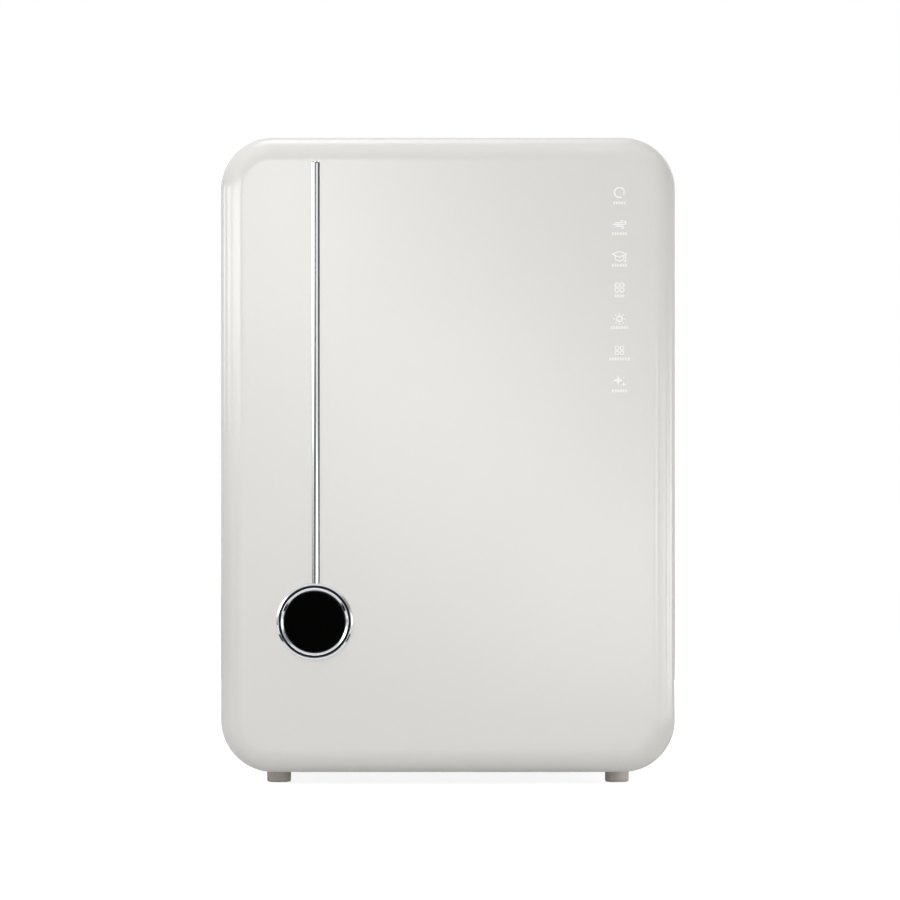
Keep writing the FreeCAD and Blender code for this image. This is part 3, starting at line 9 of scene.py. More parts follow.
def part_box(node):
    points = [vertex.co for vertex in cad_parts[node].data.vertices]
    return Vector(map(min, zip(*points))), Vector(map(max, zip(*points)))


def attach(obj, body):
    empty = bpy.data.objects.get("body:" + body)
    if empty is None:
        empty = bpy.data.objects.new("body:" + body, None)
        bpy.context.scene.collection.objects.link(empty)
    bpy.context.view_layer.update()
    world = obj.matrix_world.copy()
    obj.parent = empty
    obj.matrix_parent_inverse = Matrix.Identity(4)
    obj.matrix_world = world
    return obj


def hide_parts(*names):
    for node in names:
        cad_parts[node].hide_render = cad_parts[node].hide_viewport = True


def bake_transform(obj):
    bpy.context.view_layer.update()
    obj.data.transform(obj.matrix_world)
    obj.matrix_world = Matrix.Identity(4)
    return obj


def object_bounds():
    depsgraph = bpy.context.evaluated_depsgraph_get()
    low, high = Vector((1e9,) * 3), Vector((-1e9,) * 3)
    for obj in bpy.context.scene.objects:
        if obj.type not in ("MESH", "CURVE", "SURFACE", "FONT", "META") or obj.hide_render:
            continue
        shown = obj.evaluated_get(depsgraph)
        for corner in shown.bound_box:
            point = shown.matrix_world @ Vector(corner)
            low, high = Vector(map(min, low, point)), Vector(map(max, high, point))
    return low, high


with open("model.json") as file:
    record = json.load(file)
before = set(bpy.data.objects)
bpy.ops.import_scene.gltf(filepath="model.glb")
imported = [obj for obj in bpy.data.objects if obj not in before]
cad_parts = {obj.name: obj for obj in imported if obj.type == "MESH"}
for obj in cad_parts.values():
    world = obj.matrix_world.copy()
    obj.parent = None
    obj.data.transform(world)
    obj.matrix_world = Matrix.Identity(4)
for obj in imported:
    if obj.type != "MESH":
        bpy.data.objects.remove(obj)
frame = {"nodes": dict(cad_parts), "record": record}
cad_low, cad_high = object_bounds()
scene = bpy.context.scene
scene.view_settings.view_transform = "Standard"
MM = 0.001


# Camera
# A very long lens from straight ahead, level with the middle of the front, so the
# sides and the top are hidden and the upright edges run almost parallel.

CAMERA_DISTANCE = 5.0
CAMERA_LENS = 266.7
AIM = Vector((1.45 * MM, (cad_low.y + cad_high.y) / 2, 243.06 * MM))

camera_data = bpy.data.cameras.new("camera")
camera_data.lens = CAMERA_LENS
camera = bpy.data.objects.new("camera", camera_data)
scene.collection.objects.link(camera)
scene.camera = camera
camera.location = AIM - Vector((0, CAMERA_DISTANCE, 0))
camera.rotation_euler = (math.radians(90), 0, 0)


# Studio
# A pale floor under soft lamps. The camera, mirrors and glass see a white room, and soft
# bright, grey and dark boards that only mirrors see give the gloss and chrome their tones.

def linear(code):
    """An sRGB hex colour as linear red, green, blue and one."""
    parts = [int(code[n:n + 2], 16) / 255 for n in (0, 2, 4)]
    return [p / 12.92 if p <= 0.04045 else ((p + 0.055) / 1.055) ** 2.4 for p in parts] + [1.0]


def add_node(tree, kind, inputs=None, **settings):
    """Adds one shader node. An input is a value, a hex colour, a node or one of its sockets."""
    node = tree.nodes.new("ShaderNode" + kind)
    for name, value in settings.items():
        setattr(node, name, value)
    for name, value in (inputs or {}).items():
        if isinstance(value, str):
            value = linear(value)
        if isinstance(value, bpy.types.Node):
            value = value.outputs[0]
        if isinstance(value, bpy.types.NodeSocket):
            tree.links.new(value, node.inputs[name])
        else:
            node.inputs[name].default_value = value
    return node


def blank_paint(name):
    """A new material without nodes, and its node tree."""
    paint = bpy.data.materials.new(name)
    paint.use_nodes = True
    paint.node_tree.nodes.clear()
    return paint, paint.node_tree


def as_object(bm, name, paint):
    """Turns a finished mesh into an object of the scene in one material."""
    data = bpy.data.meshes.new(name)
    bm.to_mesh(data)
    bm.free()
    data.materials.append(paint)
    holder = bpy.data.objects.new(name, data)
    scene.collection.objects.link(holder)
    return holder


WHITE = "FFFFFF"
ROOM_FILL = 0.225
FLOOR_GLOW = 0.86
FLOOR_IN_MIRRORS = 0.55
FLOOR_HALF = 6.0


def straight_view(tree, in_mirrors=1.0):
    """One for rays of the camera and through glass, and a share for those off a mirror."""
    rays = add_node(tree, "LightPath").outputs
    direct = add_node(tree, "Math", {0: rays["Is Camera Ray"], 1: rays["Is Transmission Ray"]},
                      operation="MAXIMUM")
    mirrored = add_node(tree, "Math", {0: rays["Is Glossy Ray"], 1: in_mirrors},
                        operation="MULTIPLY")
    return add_node(tree, "Math", {0: direct, 1: mirrored}, operation="MAXIMUM")


world = bpy.data.worlds.new("studio")
scene.world = world
world.use_nodes = True
world_tree = world.node_tree
world_tree.nodes.clear()
world_strength = add_node(world_tree, "MapRange",
                          {0: straight_view(world_tree), 3: ROOM_FILL, 4: 1.0})
world_light = add_node(world_tree, "Background", {"Color": WHITE, "Strength": world_strength})
add_node(world_tree, "OutputWorld", {"Surface": world_light})


def finish_glowing(tree, base, strength):
    """Ends a studio piece's material: its shader with a white glow added."""
    glow = add_node(tree, "Emission", {"Color": WHITE, "Strength": strength})
    add_node(tree, "OutputMaterial", {"Surface": add_node(tree, "AddShader", {0: base, 1: glow})})


floor_paint, floor_tree = blank_paint("floor_paint")
floor_matt = add_node(floor_tree, "BsdfDiffuse", {"Color": "DADADA"})
floor_view = straight_view(floor_tree, FLOOR_IN_MIRRORS)
floor_lift = add_node(floor_tree, "Math", {0: floor_view, 1: FLOOR_GLOW}, operation="MULTIPLY")
finish_glowing(floor_tree, floor_matt, floor_lift)
floor_mesh = bmesh.new()
bmesh.ops.create_grid(floor_mesh, x_segments=1, y_segments=1, size=FLOOR_HALF)
floor = as_object(floor_mesh, "floor", floor_paint)


def face_point(holder, place, aim):
    """Puts a lamp or a board in its place, turned towards a point."""
    holder.location = place
    holder.rotation_mode = "QUATERNION"
    holder.rotation_quaternion = (Vector(aim) - Vector(place)).to_track_quat("-Z", "Y")


def soft_lamp(name, place, size, power, aim=AIM):
    """A rectangular softbox that faces a point. Mirrors see boards in its place."""
    lamp = bpy.data.lights.new(name, "AREA")
    lamp.shape = "RECTANGLE"
    lamp.size, lamp.size_y = size
    lamp.energy = power
    holder = bpy.data.objects.new(name, lamp)
    scene.collection.objects.link(holder)
    holder.visible_glossy = False
    face_point(holder, place, aim)


def mirror_board(name, place, size, tone, soft=1.0, hides=False, aim=AIM):
    """A round board that only mirrors see. It fades to its rim, and may hide what is behind it."""
    paint, tree = blank_paint(name)
    spot = add_node(tree, "TexCoord").outputs["Object"]
    round_spot = add_node(tree, "Mapping", {"Vector": spot, "Scale": (2 / size[0], 2 / size[1], 1)})
    fall = add_node(tree, "TexGradient", {"Vector": round_spot},
                    gradient_type="SPHERICAL").outputs["Fac"]
    light = add_node(tree, "MapRange", {0: fall, 2: soft, 4: tone},
                     interpolation_type="SMOOTHSTEP")
    veil = WHITE
    if hides:
        veil = add_node(tree, "MapRange", {0: fall, 2: soft, 3: 1.0, 4: 0.0},
                        interpolation_type="SMOOTHSTEP")
    finish_glowing(tree, add_node(tree, "BsdfTransparent", {"Color": veil}), light)
    bm = bmesh.new()
    bmesh.ops.create_circle(bm, cap_ends=True, radius=0.5, segments=48)
    bmesh.ops.scale(bm, verts=bm.verts, vec=(*size, 1))
    board = as_object(bm, name, paint)
    board.visible_camera = board.visible_diffuse = board.visible_shadow = False
    face_point(board, place, aim)


# Places and sizes are in metres, and powers in watts.
soft_lamp("upper_left_softbox", (-1.0, -1.2, 1.05), (0.8, 0.8), 8.1)
soft_lamp("lower_right_softbox", (1.0, -1.15, 0.1), (0.45, 0.8), 2.9)
soft_lamp("right_softbox", (1.5, -0.3, 0.1), (0.6, 0.8), 4.9)
soft_lamp("top_softbox", (-0.3, -0.3, 1.9), (1.5, 1.2), 11.5)
soft_lamp("rear_softbox", (0.5, 2.0, 0.3), (1.4, 0.5), 18)
soft_lamp("front_fill", (0.0, -2.4, 0.12), (1.6, 0.2), 7.5, aim=(0.0, -0.15, 0.12))

# A tone of one is the room's white. The numbers are rough degrees round from the camera.
bright_boards = (
    ("upper_left", (-0.2, -2.5, 0.52), (0.55, 0.6), 5.3),
    ("middle", (0.0, -2.5, 0.28), (0.55, 0.6), 4.3),
    ("lower_right", (0.22, -2.5, 0.02), (0.5, 0.6), 5.2),
    ("right_18", (0.78, -2.2, 0.1), (0.8, 0.9), 5.7),
    ("right_31", (0.8, -1.35, 0.05), (0.7, 0.7), 1.2),
    ("right_49", (1.15, -1.15, 0.1), (0.9, 0.8), 3.0),
    ("right_62", (1.45, -0.85, 0.05), (0.6, 0.9), 6.6),
    ("right_85", (1.5, -0.3, 0.06), (0.6, 0.8), 7.2),
    ("right_104", (1.6, 0.25, 0.1), (0.9, 0.9), 5.4),
    ("left_21", (-0.78, -2.2, 0.47), (0.8, 0.7), 6.4),
    ("left_34", (-0.8, -1.35, 0.46), (0.7, 0.55), 6.4),
    ("left_49", (-1.15, -1.15, 0.44), (0.9, 0.55), 6.4),
    ("left_64", (-1.4, -0.75, 0.44), (0.6, 0.55), 3.0),
    ("left_80", (-1.6, -0.45, 0.44), (1.1, 0.55), 6.0),
    ("left_105", (-1.55, 0.4, 0.44), (0.8, 0.55), 4.5),
    ("top", (-0.2, 0.15, 1.5), (1.4, 1.0), 3.0),
)
for board_name, *board_form in bright_boards:
    mirror_board("bright_" + board_name, *board_form)
# These also hide the white room behind them.
dull_boards = (
    ("grey_left_low", (-0.85, -1.45, -0.02), (0.9, 0.55), 0.35, 0.6),
    ("grey_right_high", (0.85, -1.45, 0.62), (0.9, 0.75), 0.35, 0.6),
    ("dark_far_left", (-1.5, -0.3, 0.0), (0.8, 0.6), 0.05, 0.6),
    ("dark_far_right", (1.5, -0.3, 0.75), (0.8, 0.7), 0.05, 0.6),
    ("dark_by_camera", (-0.146, -2.45, 0.06), (0.104, 0.104), 0.0, 0.2),
)
for board_form in dull_boards:
    mirror_board(*board_form, hides=True)
# Two dark sheets just above the floor give the round chrome its dark marks.
for board_name, board_x in (("dark_floor_left", -0.318), ("dark_floor_right", 0.118)):
    mirror_board(board_name, (board_x, -0.49, 0.003), (0.26, 0.26), 0.0, 0.5, hides=True,
                 aim=(board_x, -0.49, 1.0))


# Case
# One wrap of glossy white ABS with round corners, moulded in one. It is open at the
# front and at the back, and its front edge has a small round.

def round_corners(bm, verts, radius, steps):
    """Rounds the corners of an outline."""
    bmesh.ops.bevel(bm, geom=verts, offset=radius, segments=steps, profile=0.5,
                    affect="VERTICES", material=-1)


def draw_section(bm, corners, closed=True):
    """A section outline in the plane Z = 0: each corner is across, deep and its rounding."""
    points = [bm.verts.new((across, deep, 0)) for across, deep, _ in corners]
    pairs = list(zip(points, points[1:]))
    if closed:
        pairs.append((points[-1], points[0]))
    for pair in pairs:
        bm.edges.new(pair)
    for vert, (_, _, rounding) in zip(points, corners):
        if rounding:
            round_corners(bm, [vert], rounding, max(3, min(14, round(rounding / MM * 2))))


def only(parts, kind):
    """The vertices or the edges among an operator's results."""
    return [part for part in parts if isinstance(part, kind)]


def extrude_edges(bm, edges, move):
    """Carries edges along a straight way and gives the new vertices and edges."""
    grown = bmesh.ops.extrude_edge_only(bm, edges=edges)["geom"]
    moved = only(grown, bmesh.types.BMVert)
    bmesh.ops.translate(bm, verts=moved, vec=move)
    edges = only(grown, bmesh.types.BMEdge)
    return moved, [edge for edge in edges if all(vert in moved for vert in edge.verts)]


def sweep_round(bm, width, height, radius, middle, corner_steps=24):
    """Carries a section round an upright rectangle with round corners."""
    half_x, half_z = width / 2 - radius, height / 2 - radius
    bmesh.ops.translate(bm, verts=bm.verts, vec=(middle[0] + width / 2, 0, middle[1] - half_z))
    edges = list(bm.edges)
    corners = ((half_x, half_z), (-half_x, half_z), (-half_x, -half_z), (half_x, -half_z))
    runs = ((0, 2 * half_z), (-2 * half_x, 0), (0, -2 * half_z), (2 * half_x, 0))
    for corner, run in zip(corners, runs):
        moved, edges = extrude_edges(bm, edges, (run[0], 0, run[1]))
        pivot = (middle[0] + corner[0], 0, middle[1] + corner[1])
        turned = bmesh.ops.spin(bm, geom=moved + edges, cent=pivot, axis=(0, -1, 0),
                                angle=math.pi / 2, steps=corner_steps,
                                use_duplicate=False)["geom_last"]
        edges = only(turned, bmesh.types.BMEdge)
    bmesh.ops.remove_doubles(bm, verts=bm.verts, dist=1e-6)


def start_material(name):
    """A new material named for the real finish, its node tree and the spot on the object."""
    material, tree = blank_paint(name)
    return material, tree, add_node(tree, "TexCoord").outputs["Object"]


def finish_material(tree, **inputs):
    """Ends a material with its shader; each input is a value or the node that drives it."""
    inputs = {key.replace("_", " "): value for key, value in inputs.items()}
    add_node(tree, "OutputMaterial", {"Surface": add_node(tree, "BsdfPrincipled", inputs)})


bodies = frame["record"]["behaviour"]["bodies"]
body_of = {node: body for body, nodes in bodies.items() for node in nodes}


def add_piece(bm, name, material, nodes=(), body=None, crease=32, outward=True,
              edge=0.0, spans=None):
    """Turns a finished mesh into a named piece that rides on a body, or on none when spans is
    given.
    """
    if outward:
        bmesh.ops.recalc_face_normals(bm, faces=bm.faces)
    piece = as_object(bm, name, material)
    piece.data.polygons.foreach_set("use_smooth", [True] * len(piece.data.polygons))
    piece.data.set_sharp_from_angle(angle=math.radians(crease))
    if edge:
        broken = piece.modifiers.new("broken_edges", "BEVEL")
        broken.width = edge
        broken.segments = 2
        broken.limit_method = "ANGLE"
        broken.angle_limit = math.radians(40)
    even = piece.modifiers.new("even_shading", "WEIGHTED_NORMAL")
    even.keep_sharp = True
    if spans:
        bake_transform(piece)
    else:
        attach(piece, body or body_of[nodes[0]])
    if nodes:
        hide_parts(*nodes)


# Grains and marks that are too fine to show in a picture of the whole are drawn coarser.
def moulded(name, pale, shade, roughness, grain, relief, patch=111, **finish):
    """A moulded skin, faintly uneven in tone and gloss. Grains and patches are so many mm wide."""
    material, tree, place = start_material(name)
    cloud = add_node(tree, "TexNoise",
                     {"Vector": place, "Scale": 1 / (patch * MM), "Detail": 2.0})
    tone = add_node(tree, "MixRGB", {0: cloud, 1: pale, 2: shade})
    gloss = add_node(tree, "MapRange", {0: cloud, 3: roughness * 0.85, 4: roughness * 1.15})
    skin = add_node(tree, "TexNoise", {"Vector": place, "Scale": 1 / (grain * MM), "Detail": 1.5})
    bump = add_node(tree, "Bump", {"Strength": relief, "Distance": 0.1 * MM, "Height": skin})
    finish_material(tree, Base_Color=tone, Roughness=gloss, Normal=bump, **finish)
    return material


# Polished ABS: a bright even white with soft mirror lights and the slightest ripple.
case_plastic = moulded("white_gloss_abs", "EBE9E5", "E9E7E3", 0.16, 3.85, 0.035, IOR=1.53)

shell_low, shell_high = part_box("cabinet_shell")
BODY_WIDTH = shell_high.x - shell_low.x
BODY_HEIGHT = shell_high.z - shell_low.z
BODY_MIDDLE = (0.0, (shell_high.z + shell_low.z) / 2)
BODY_CORNER = 38 * MM
WALL = 3 * MM

case_mesh = bmesh.new()
draw_section(case_mesh, (
    (0, shell_low.y, 3 * MM),
    (0, shell_high.y, 1 * MM),
    (-WALL, shell_high.y, 0.4 * MM),
    (-WALL, shell_low.y, 0.4 * MM),
))
sweep_round(case_mesh, BODY_WIDTH, BODY_HEIGHT, BODY_CORNER, BODY_MIDDLE)
add_piece(case_mesh, "case_wrap", case_plastic, ["cabinet_shell"])


# Feet
# Four round feet of grey-beige rubber, each with a sunk hole and a zinc-plated screw
# that goes up through the case into the steel base plate.

def lathe(profile, centre, axis="Y", steps=64, closed=True):
    """Turns a profile of radius, way along and rounding about an axis through a point."""
    bm = bmesh.new()
    draw_section(bm, profile, closed)
    bmesh.ops.spin(bm, geom=list(bm.verts) + list(bm.edges), cent=(0, 0, 0), axis=(0, 1, 0),
                   angle=2 * math.pi, steps=steps, use_merge=True, use_duplicate=False)
    bmesh.ops.remove_doubles(bm, verts=bm.verts, dist=1e-6)
    if axis == "Z":
        bmesh.ops.rotate(bm, verts=bm.verts, cent=(0, 0, 0),
                         matrix=Matrix.Rotation(math.pi / 2, 3, "X"))
    bmesh.ops.translate(bm, verts=bm.verts, vec=centre)
    return bm


def gather(meshes):
    """One mesh from several, which are used up."""
    whole = bmesh.new()
    for part in meshes:
        loose = bpy.data.meshes.new("loose")
        part.to_mesh(loose)
        part.free()
        whole.from_mesh(loose)
        bpy.data.meshes.remove(loose)
    return whole


CLOUD = 33.3 * MM


def metal(name, pale, shade, roughness, along=(1, 1, 1), grain=2.5, relief=0.05):
    """Worked metal: a cloudy tone, and marks so many mm wide along the way it was worked."""
    material, tree, place = start_material(name)
    stretched = add_node(tree, "Mapping", {"Vector": place, "Scale": along})
    marks = add_node(tree, "TexNoise",
                     {"Vector": stretched, "Scale": 1 / (grain * MM), "Detail": 3.0})
    cloud = add_node(tree, "TexNoise", {"Vector": place, "Scale": 1 / CLOUD, "Detail": 2.0})
    tone = add_node(tree, "MixRGB", {0: cloud, 1: pale, 2: shade})
    gloss = add_node(tree, "MapRange", {0: marks, 3: roughness * 0.75, 4: roughness * 1.25})
    bump = add_node(tree, "Bump", {"Strength": relief, "Distance": 0.05 * MM, "Height": marks})
    finish_material(tree, Metallic=1.0, Base_Color=tone, Roughness=gloss, Normal=bump)
    return material


def from_frame(node, name, material, edge=0.0, crease=32, spans=None):
    """A piece in the shape of a node: welded, smooth where round, with its edges broken."""
    bm = bmesh.new()
    bm.from_mesh(frame["nodes"][node].data)
    bmesh.ops.remove_doubles(bm, verts=bm.verts, dist=2e-6)
    bmesh.ops.dissolve_limit(bm, angle_limit=math.radians(1), verts=bm.verts, edges=bm.edges)
    add_piece(bm, name, material, [node], crease=crease, outward=False, edge=edge, spans=spans)


# Natural rubber with a matt skin that scatters light and picks up a little dust.
foot_rubber = moulded("grey_rubber", "E0D8CE", "D2CAC0", 0.62, 1.11, 0.25, patch=16.7, IOR=1.52)
# Zinc plate over steel: bright and a little blue, with a faintly clouded shine.
zinc_steel = metal("zinc_plated_steel", "C9CCD0", "B4B7BB", 0.26, relief=0.08)

FOOT_RADIUS = 8.75 * MM
FOOT_HOLE = 4.2 * MM
FOOT_SINK = 4 * MM
SCREW_BORE = 2.3 * MM
feet_low, feet_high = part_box("feet")
foot_profile = (
    (SCREW_BORE, feet_high.z, 0),
    (FOOT_RADIUS, feet_high.z, 0.3 * MM),
    (FOOT_RADIUS, feet_low.z, 1.6 * MM),
    (FOOT_HOLE, feet_low.z, 0.5 * MM),
    (FOOT_HOLE, feet_low.z + FOOT_SINK, 0.3 * MM),
    (SCREW_BORE, feet_low.z + FOOT_SINK, 0),
)
foot_x = (feet_low.x + FOOT_RADIUS, feet_high.x - FOOT_RADIUS)
foot_y = (feet_low.y + FOOT_RADIUS, feet_high.y - FOOT_RADIUS)
foot_meshes = [lathe(foot_profile, (x, y, 0), "Z", 48) for x in foot_x for y in foot_y]
add_piece(gather(foot_meshes), "rubber_feet", foot_rubber, ["feet"])
from_frame("foot_screws", "foot_screw_set", zinc_steel, edge=0.1 * MM)


# Base, boards and wires
# A zinc-plated plate stiffens the bottom. It carries the mains board and the control
# board on legs, and a sleeved loom goes up to the lamp above the chamber.

def board_skin(name, pale, shade, track, flat=True):
    """A circuit board: solder mask over rows of tracks, glossier than the gaps between them."""
    material, tree, place = start_material(name)
    turned = add_node(tree, "Mapping",
                      {"Vector": place, "Rotation": (0 if flat else math.pi / 2, 0, 0)})
    tracks = add_node(tree, "TexBrick", {
        "Vector": turned, "Color1": pale, "Color2": shade, "Mortar": track, "Scale": 1.0,
        "Mortar Size": 0.35 * MM, "Brick Width": 9 * MM, "Row Height": 2.5 * MM})
    raised = tracks.outputs["Fac"]
    gloss = add_node(tree, "MapRange", {0: raised, 3: 0.32, 4: 0.22})
    bump = add_node(tree, "Bump", {"Strength": 0.4, "Distance": 0.05 * MM, "Height": raised})
    finish_material(tree, IOR=1.55, Base_Color=tracks, Roughness=gloss, Normal=bump)
    return material


# Green solder mask over copper tracks on glass-epoxy board.
MASK_GREENS = ("1B5A34", "184F2E", "2F7A48")
green_mask = board_skin("green_solder_mask", *MASK_GREENS)
# Braided sleeve of black polyester round the wires: a dull crosshatch.
black_sleeve = moulded("black_braided_sleeve", "1C1C1E", "111113", 0.55, 0.667, 0.6,
                       patch=5, IOR=1.5)

from_frame("base_plate", "steel_base", zinc_steel, edge=0.2 * MM)
from_frame("power_board", "mains_board", green_mask, edge=0.15 * MM)
from_frame("main_board", "control_board", green_mask, edge=0.15 * MM)
from_frame("wiring_loom", "lamp_loom", black_sleeve, crease=50)


# Face plate
# A flat plate of satin white ABS closes the case round the chamber's mouth. It has slots
# for the hinge arms and the catch, and sunk holes for screws.

# ABS with a fine spark-eroded texture, so its lights are wide and soft.
satin_plastic = moulded("white_satin_abs", "E9E7E4", "E4E2DE", 0.38, 0.714, 0.12, IOR=1.53)

from_frame("front_frame", "face_plate", satin_plastic, edge=0.35 * MM)
from_frame("frame_screws", "face_plate_screws", zinc_steel, edge=0.1 * MM)


# Hinge and catch on the cabinet
# Two zinc-plated steel angles carry ground steel pins for the door. Across the chamber a
# stamped striker holds the latch hook, and a reed switch senses the door.

# Ground and hardened steel: a clean shine with marks round the pin.
ground_steel = metal("ground_steel", "D2D3D5", "C2C4C6", 0.16, (1, 1, 12), 3.33, 0.06)
# Black nylon as moulded: near black, with a dull skin.
black_nylon = moulded("black_nylon", "161617", "101011", 0.48, 0.91, 0.15, patch=20, IOR=1.53,
                      Specular_IOR_Level=0.3)

for end in ("upper", "lower"):
    from_frame("hinge_bracket_" + end, "hinge_angle_" + end, zinc_steel, edge=0.25 * MM)
from_frame("hinge_pins", "hinge_pin_pair", ground_steel)
from_frame("striker_plate", "latch_striker", zinc_steel, edge=0.2 * MM)
from_frame("reed_switch", "door_sensor", black_nylon, edge=0.4 * MM)


# Chamber
# Mirror-polished stainless sheet, bent into a wrap with round corners and closed by a
# back sheet with slots for warm and damp air. Folded ladders on its sides carry racks.

def cut_window(bm, low, high):
    """Opens a rectangular hole through both faces of a sheet between two corners."""
    for axis in range(3):
        for edge_place, facing in ((low[axis], 1), (high[axis], -1)):
            normal = Vector([facing if n == axis else 0 for n in range(3)])
            spot = Vector([edge_place if n == axis else 0 for n in range(3)])
            bmesh.ops.bisect_plane(bm, geom=[*bm.verts, *bm.edges, *bm.faces],
                                   plane_co=spot, plane_no=normal, dist=1e-7)
    inside = [face for face in bm.faces
              if all(low[n] < face.calc_center_median()[n] < high[n] for n in range(3))]
    bmesh.ops.delete(bm, geom=inside, context="FACES")
    bmesh.ops.bridge_loops(bm, edges=[edge for edge in bm.edges if edge.is_boundary])


# Stainless 304 rolled and polished: almost a mirror, with faint level rolling marks.
mirror_steel = metal("polished_stainless", "D3D5D6", "C8CACC", 0.13, (0.05, 0.05, 1), 3.85, 0.03)

liner_low, liner_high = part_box("liner_wrap")
SHEET = 1.0 * MM
CHAMBER_CORNER = 14 * MM
CHAMBER_MIDDLE = ((liner_low.x + liner_high.x) / 2, (liner_low.z + liner_high.z) / 2)
lamp_low, lamp_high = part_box("top_uv_window")
WINDOW_LAP = 2 * MM

liner_mesh = bmesh.new()
draw_section(liner_mesh, (
    (0, liner_low.y, 0),
    (0, liner_high.y, 0),
    (-SHEET, liner_high.y, 0.3 * MM),
    (-SHEET, liner_low.y, 0.3 * MM),
))
sweep_round(liner_mesh, liner_high.x - liner_low.x, liner_high.z - liner_low.z,
            CHAMBER_CORNER, CHAMBER_MIDDLE, 16)
cut_window(liner_mesh,
           (lamp_low.x + WINDOW_LAP, lamp_low.y + WINDOW_LAP, liner_high.z - 2 * SHEET),
           (lamp_high.x - WINDOW_LAP, lamp_high.y - WINDOW_LAP, liner_high.z + SHEET))
add_piece(liner_mesh, "chamber_wrap", mirror_steel, ["liner_wrap"])
from_frame("liner_back", "chamber_back_sheet", mirror_steel, edge=0.2 * MM)
for side in ("left", "right"):
    from_frame("rack_rail_" + side, "rack_ladder_" + side, mirror_steel, edge=0.3 * MM)


# Lamps
# In the ceiling and in the back a clear quartz window covers a white board with rows of
# ultraviolet diodes in a moulded housing.

# Quartz plate with polished faces: clear, with a faint green cast at the edge.
SMEAR = 22.2 * MM
quartz, quartz_tree, quartz_place = start_material("quartz_plate")
quartz_smear = add_node(quartz_tree, "TexNoise",
                        {"Vector": quartz_place, "Scale": 1 / SMEAR, "Detail": 4.0})
quartz_gloss = add_node(quartz_tree, "MapRange", {0: quartz_smear, 3: 0.0, 4: 0.08})
finish_material(quartz_tree, Base_Color="F4FAFA", Roughness=quartz_gloss, IOR=1.46,
                Transmission_Weight=1.0)
# White solder mask with pale tracks on an aluminium core.
white_mask = board_skin("white_solder_mask", "E6E6E2", "DEDEDA", "CFCFCB")
# Polycarbonate as moulded, pale grey and satin.
lamp_plastic = moulded("grey_polycarbonate", "CDCDCC", "C2C2C1", 0.42, 1.11, 0.1, IOR=1.58)

for end in ("top", "rear"):
    from_frame(end + "_uv_window", end + "_lamp_glass", quartz, edge=0.3 * MM)
    from_frame(end + "_uv_board", end + "_lamp_diodes", white_mask, edge=0.1 * MM)
    from_frame(end + "_uv_housing", end + "_lamp_housing", lamp_plastic, edge=0.5 * MM)


# Air path
# Behind the chamber a fan blows through a square duct with a finned heater block. A
# second sleeve leads damp air to the slots in the rear cover.

# Rolled aluminium fins, bare and a little dull.
fin_aluminium = metal("rolled_aluminium", "C9CACC", "B9BABD", 0.34, (1, 0.1, 0.1), 2.0, 0.15)

# Enamelled copper wire wound in close turns round the fan's bearing.
WIRE_TURN = 0.524 * MM
# The wave pattern repeats this often in one unit of its scale.
WAVES = 10 / math.pi
winding, winding_tree, winding_place = start_material("enamelled_copper_winding")
winding_turns = add_node(winding_tree, "TexWave", {
    "Vector": winding_place, "Scale": 1 / (WAVES * WIRE_TURN), "Distortion": 0.6,
    "Detail": 1.0}, bands_direction="Y")
winding_tone = add_node(winding_tree, "MixRGB", {0: winding_turns, 1: "8A4A26", 2: "C47B48"})
winding_bump = add_node(winding_tree, "Bump",
                        {"Strength": 0.5, "Distance": 0.2 * MM, "Height": winding_turns})
finish_material(winding_tree, Metallic=1.0, Base_Color=winding_tone, Roughness=0.32,
                Normal=winding_bump)

from_frame("air_duct", "warm_air_duct", lamp_plastic, edge=0.3 * MM)
from_frame("exhaust_duct", "damp_air_duct", lamp_plastic, edge=0.3 * MM)
from_frame("heater", "finned_heater", fin_aluminium, edge=0.08 * MM)
from_frame("fan_frame", "fan_housing", black_nylon, edge=0.3 * MM)
from_frame("fan_motor", "fan_winding", winding, edge=0.4 * MM)
from_frame("fan_impeller", "fan_wheel", black_nylon, edge=0.2 * MM)


# Rear cover
# A flat plate of fine-textured light grey ABS on six screws, with slots for damp air, a
# bay for the filter and the power inlet. Four round bumps keep it off the wall.

# ABS with a coarse spark-eroded texture, matt, so finger marks don't show.
matt_plastic = moulded("light_grey_matt_abs", "DAD9D6", "D3D2CF", 0.5, 1.0, 0.3, IOR=1.53)
# Nickel plate on brass blades.
nickel_brass = metal("nickel_plated_brass", "D8CFB2", "C9BF9F", 0.2, (1, 0.05, 1), 2.0, 0.05)

from_frame("rear_cover", "back_plate", matt_plastic, edge=0.4 * MM)
from_frame("rear_cover_screws", "back_plate_screws", zinc_steel, edge=0.1 * MM)

spacer_low, spacer_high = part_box("wall_spacers")
SPACER_RADIUS = 9 * MM
spacer_profile = (
    (0, spacer_high.y - 0.4 * MM, 0),
    (SPACER_RADIUS - 4 * MM, spacer_high.y, 0.5 * MM),
    (SPACER_RADIUS, spacer_high.y, 3 * MM),
    (SPACER_RADIUS, spacer_low.y, 0),
    (0, spacer_low.y, 0),
)
spacer_x = (spacer_low.x + SPACER_RADIUS, spacer_high.x - SPACER_RADIUS)
spacer_z = (spacer_low.z + SPACER_RADIUS, spacer_high.z - SPACER_RADIUS)
spacer_meshes = [lathe(spacer_profile, (x, 0, z), closed=False) for x in spacer_x for z in spacer_z]
add_piece(gather(spacer_meshes), "wall_bumps", matt_plastic, ["wall_spacers"])

from_frame("inlet_socket", "power_inlet_body", black_nylon, edge=0.3 * MM)
from_frame("inlet_pins", "power_inlet_blades", nickel_brass, edge=0.3 * MM)


# Filter cassette
# A matt ABS grille with a finger tab slides out of the rear cover. It holds a pleated
# insert of glass-fibre paper.

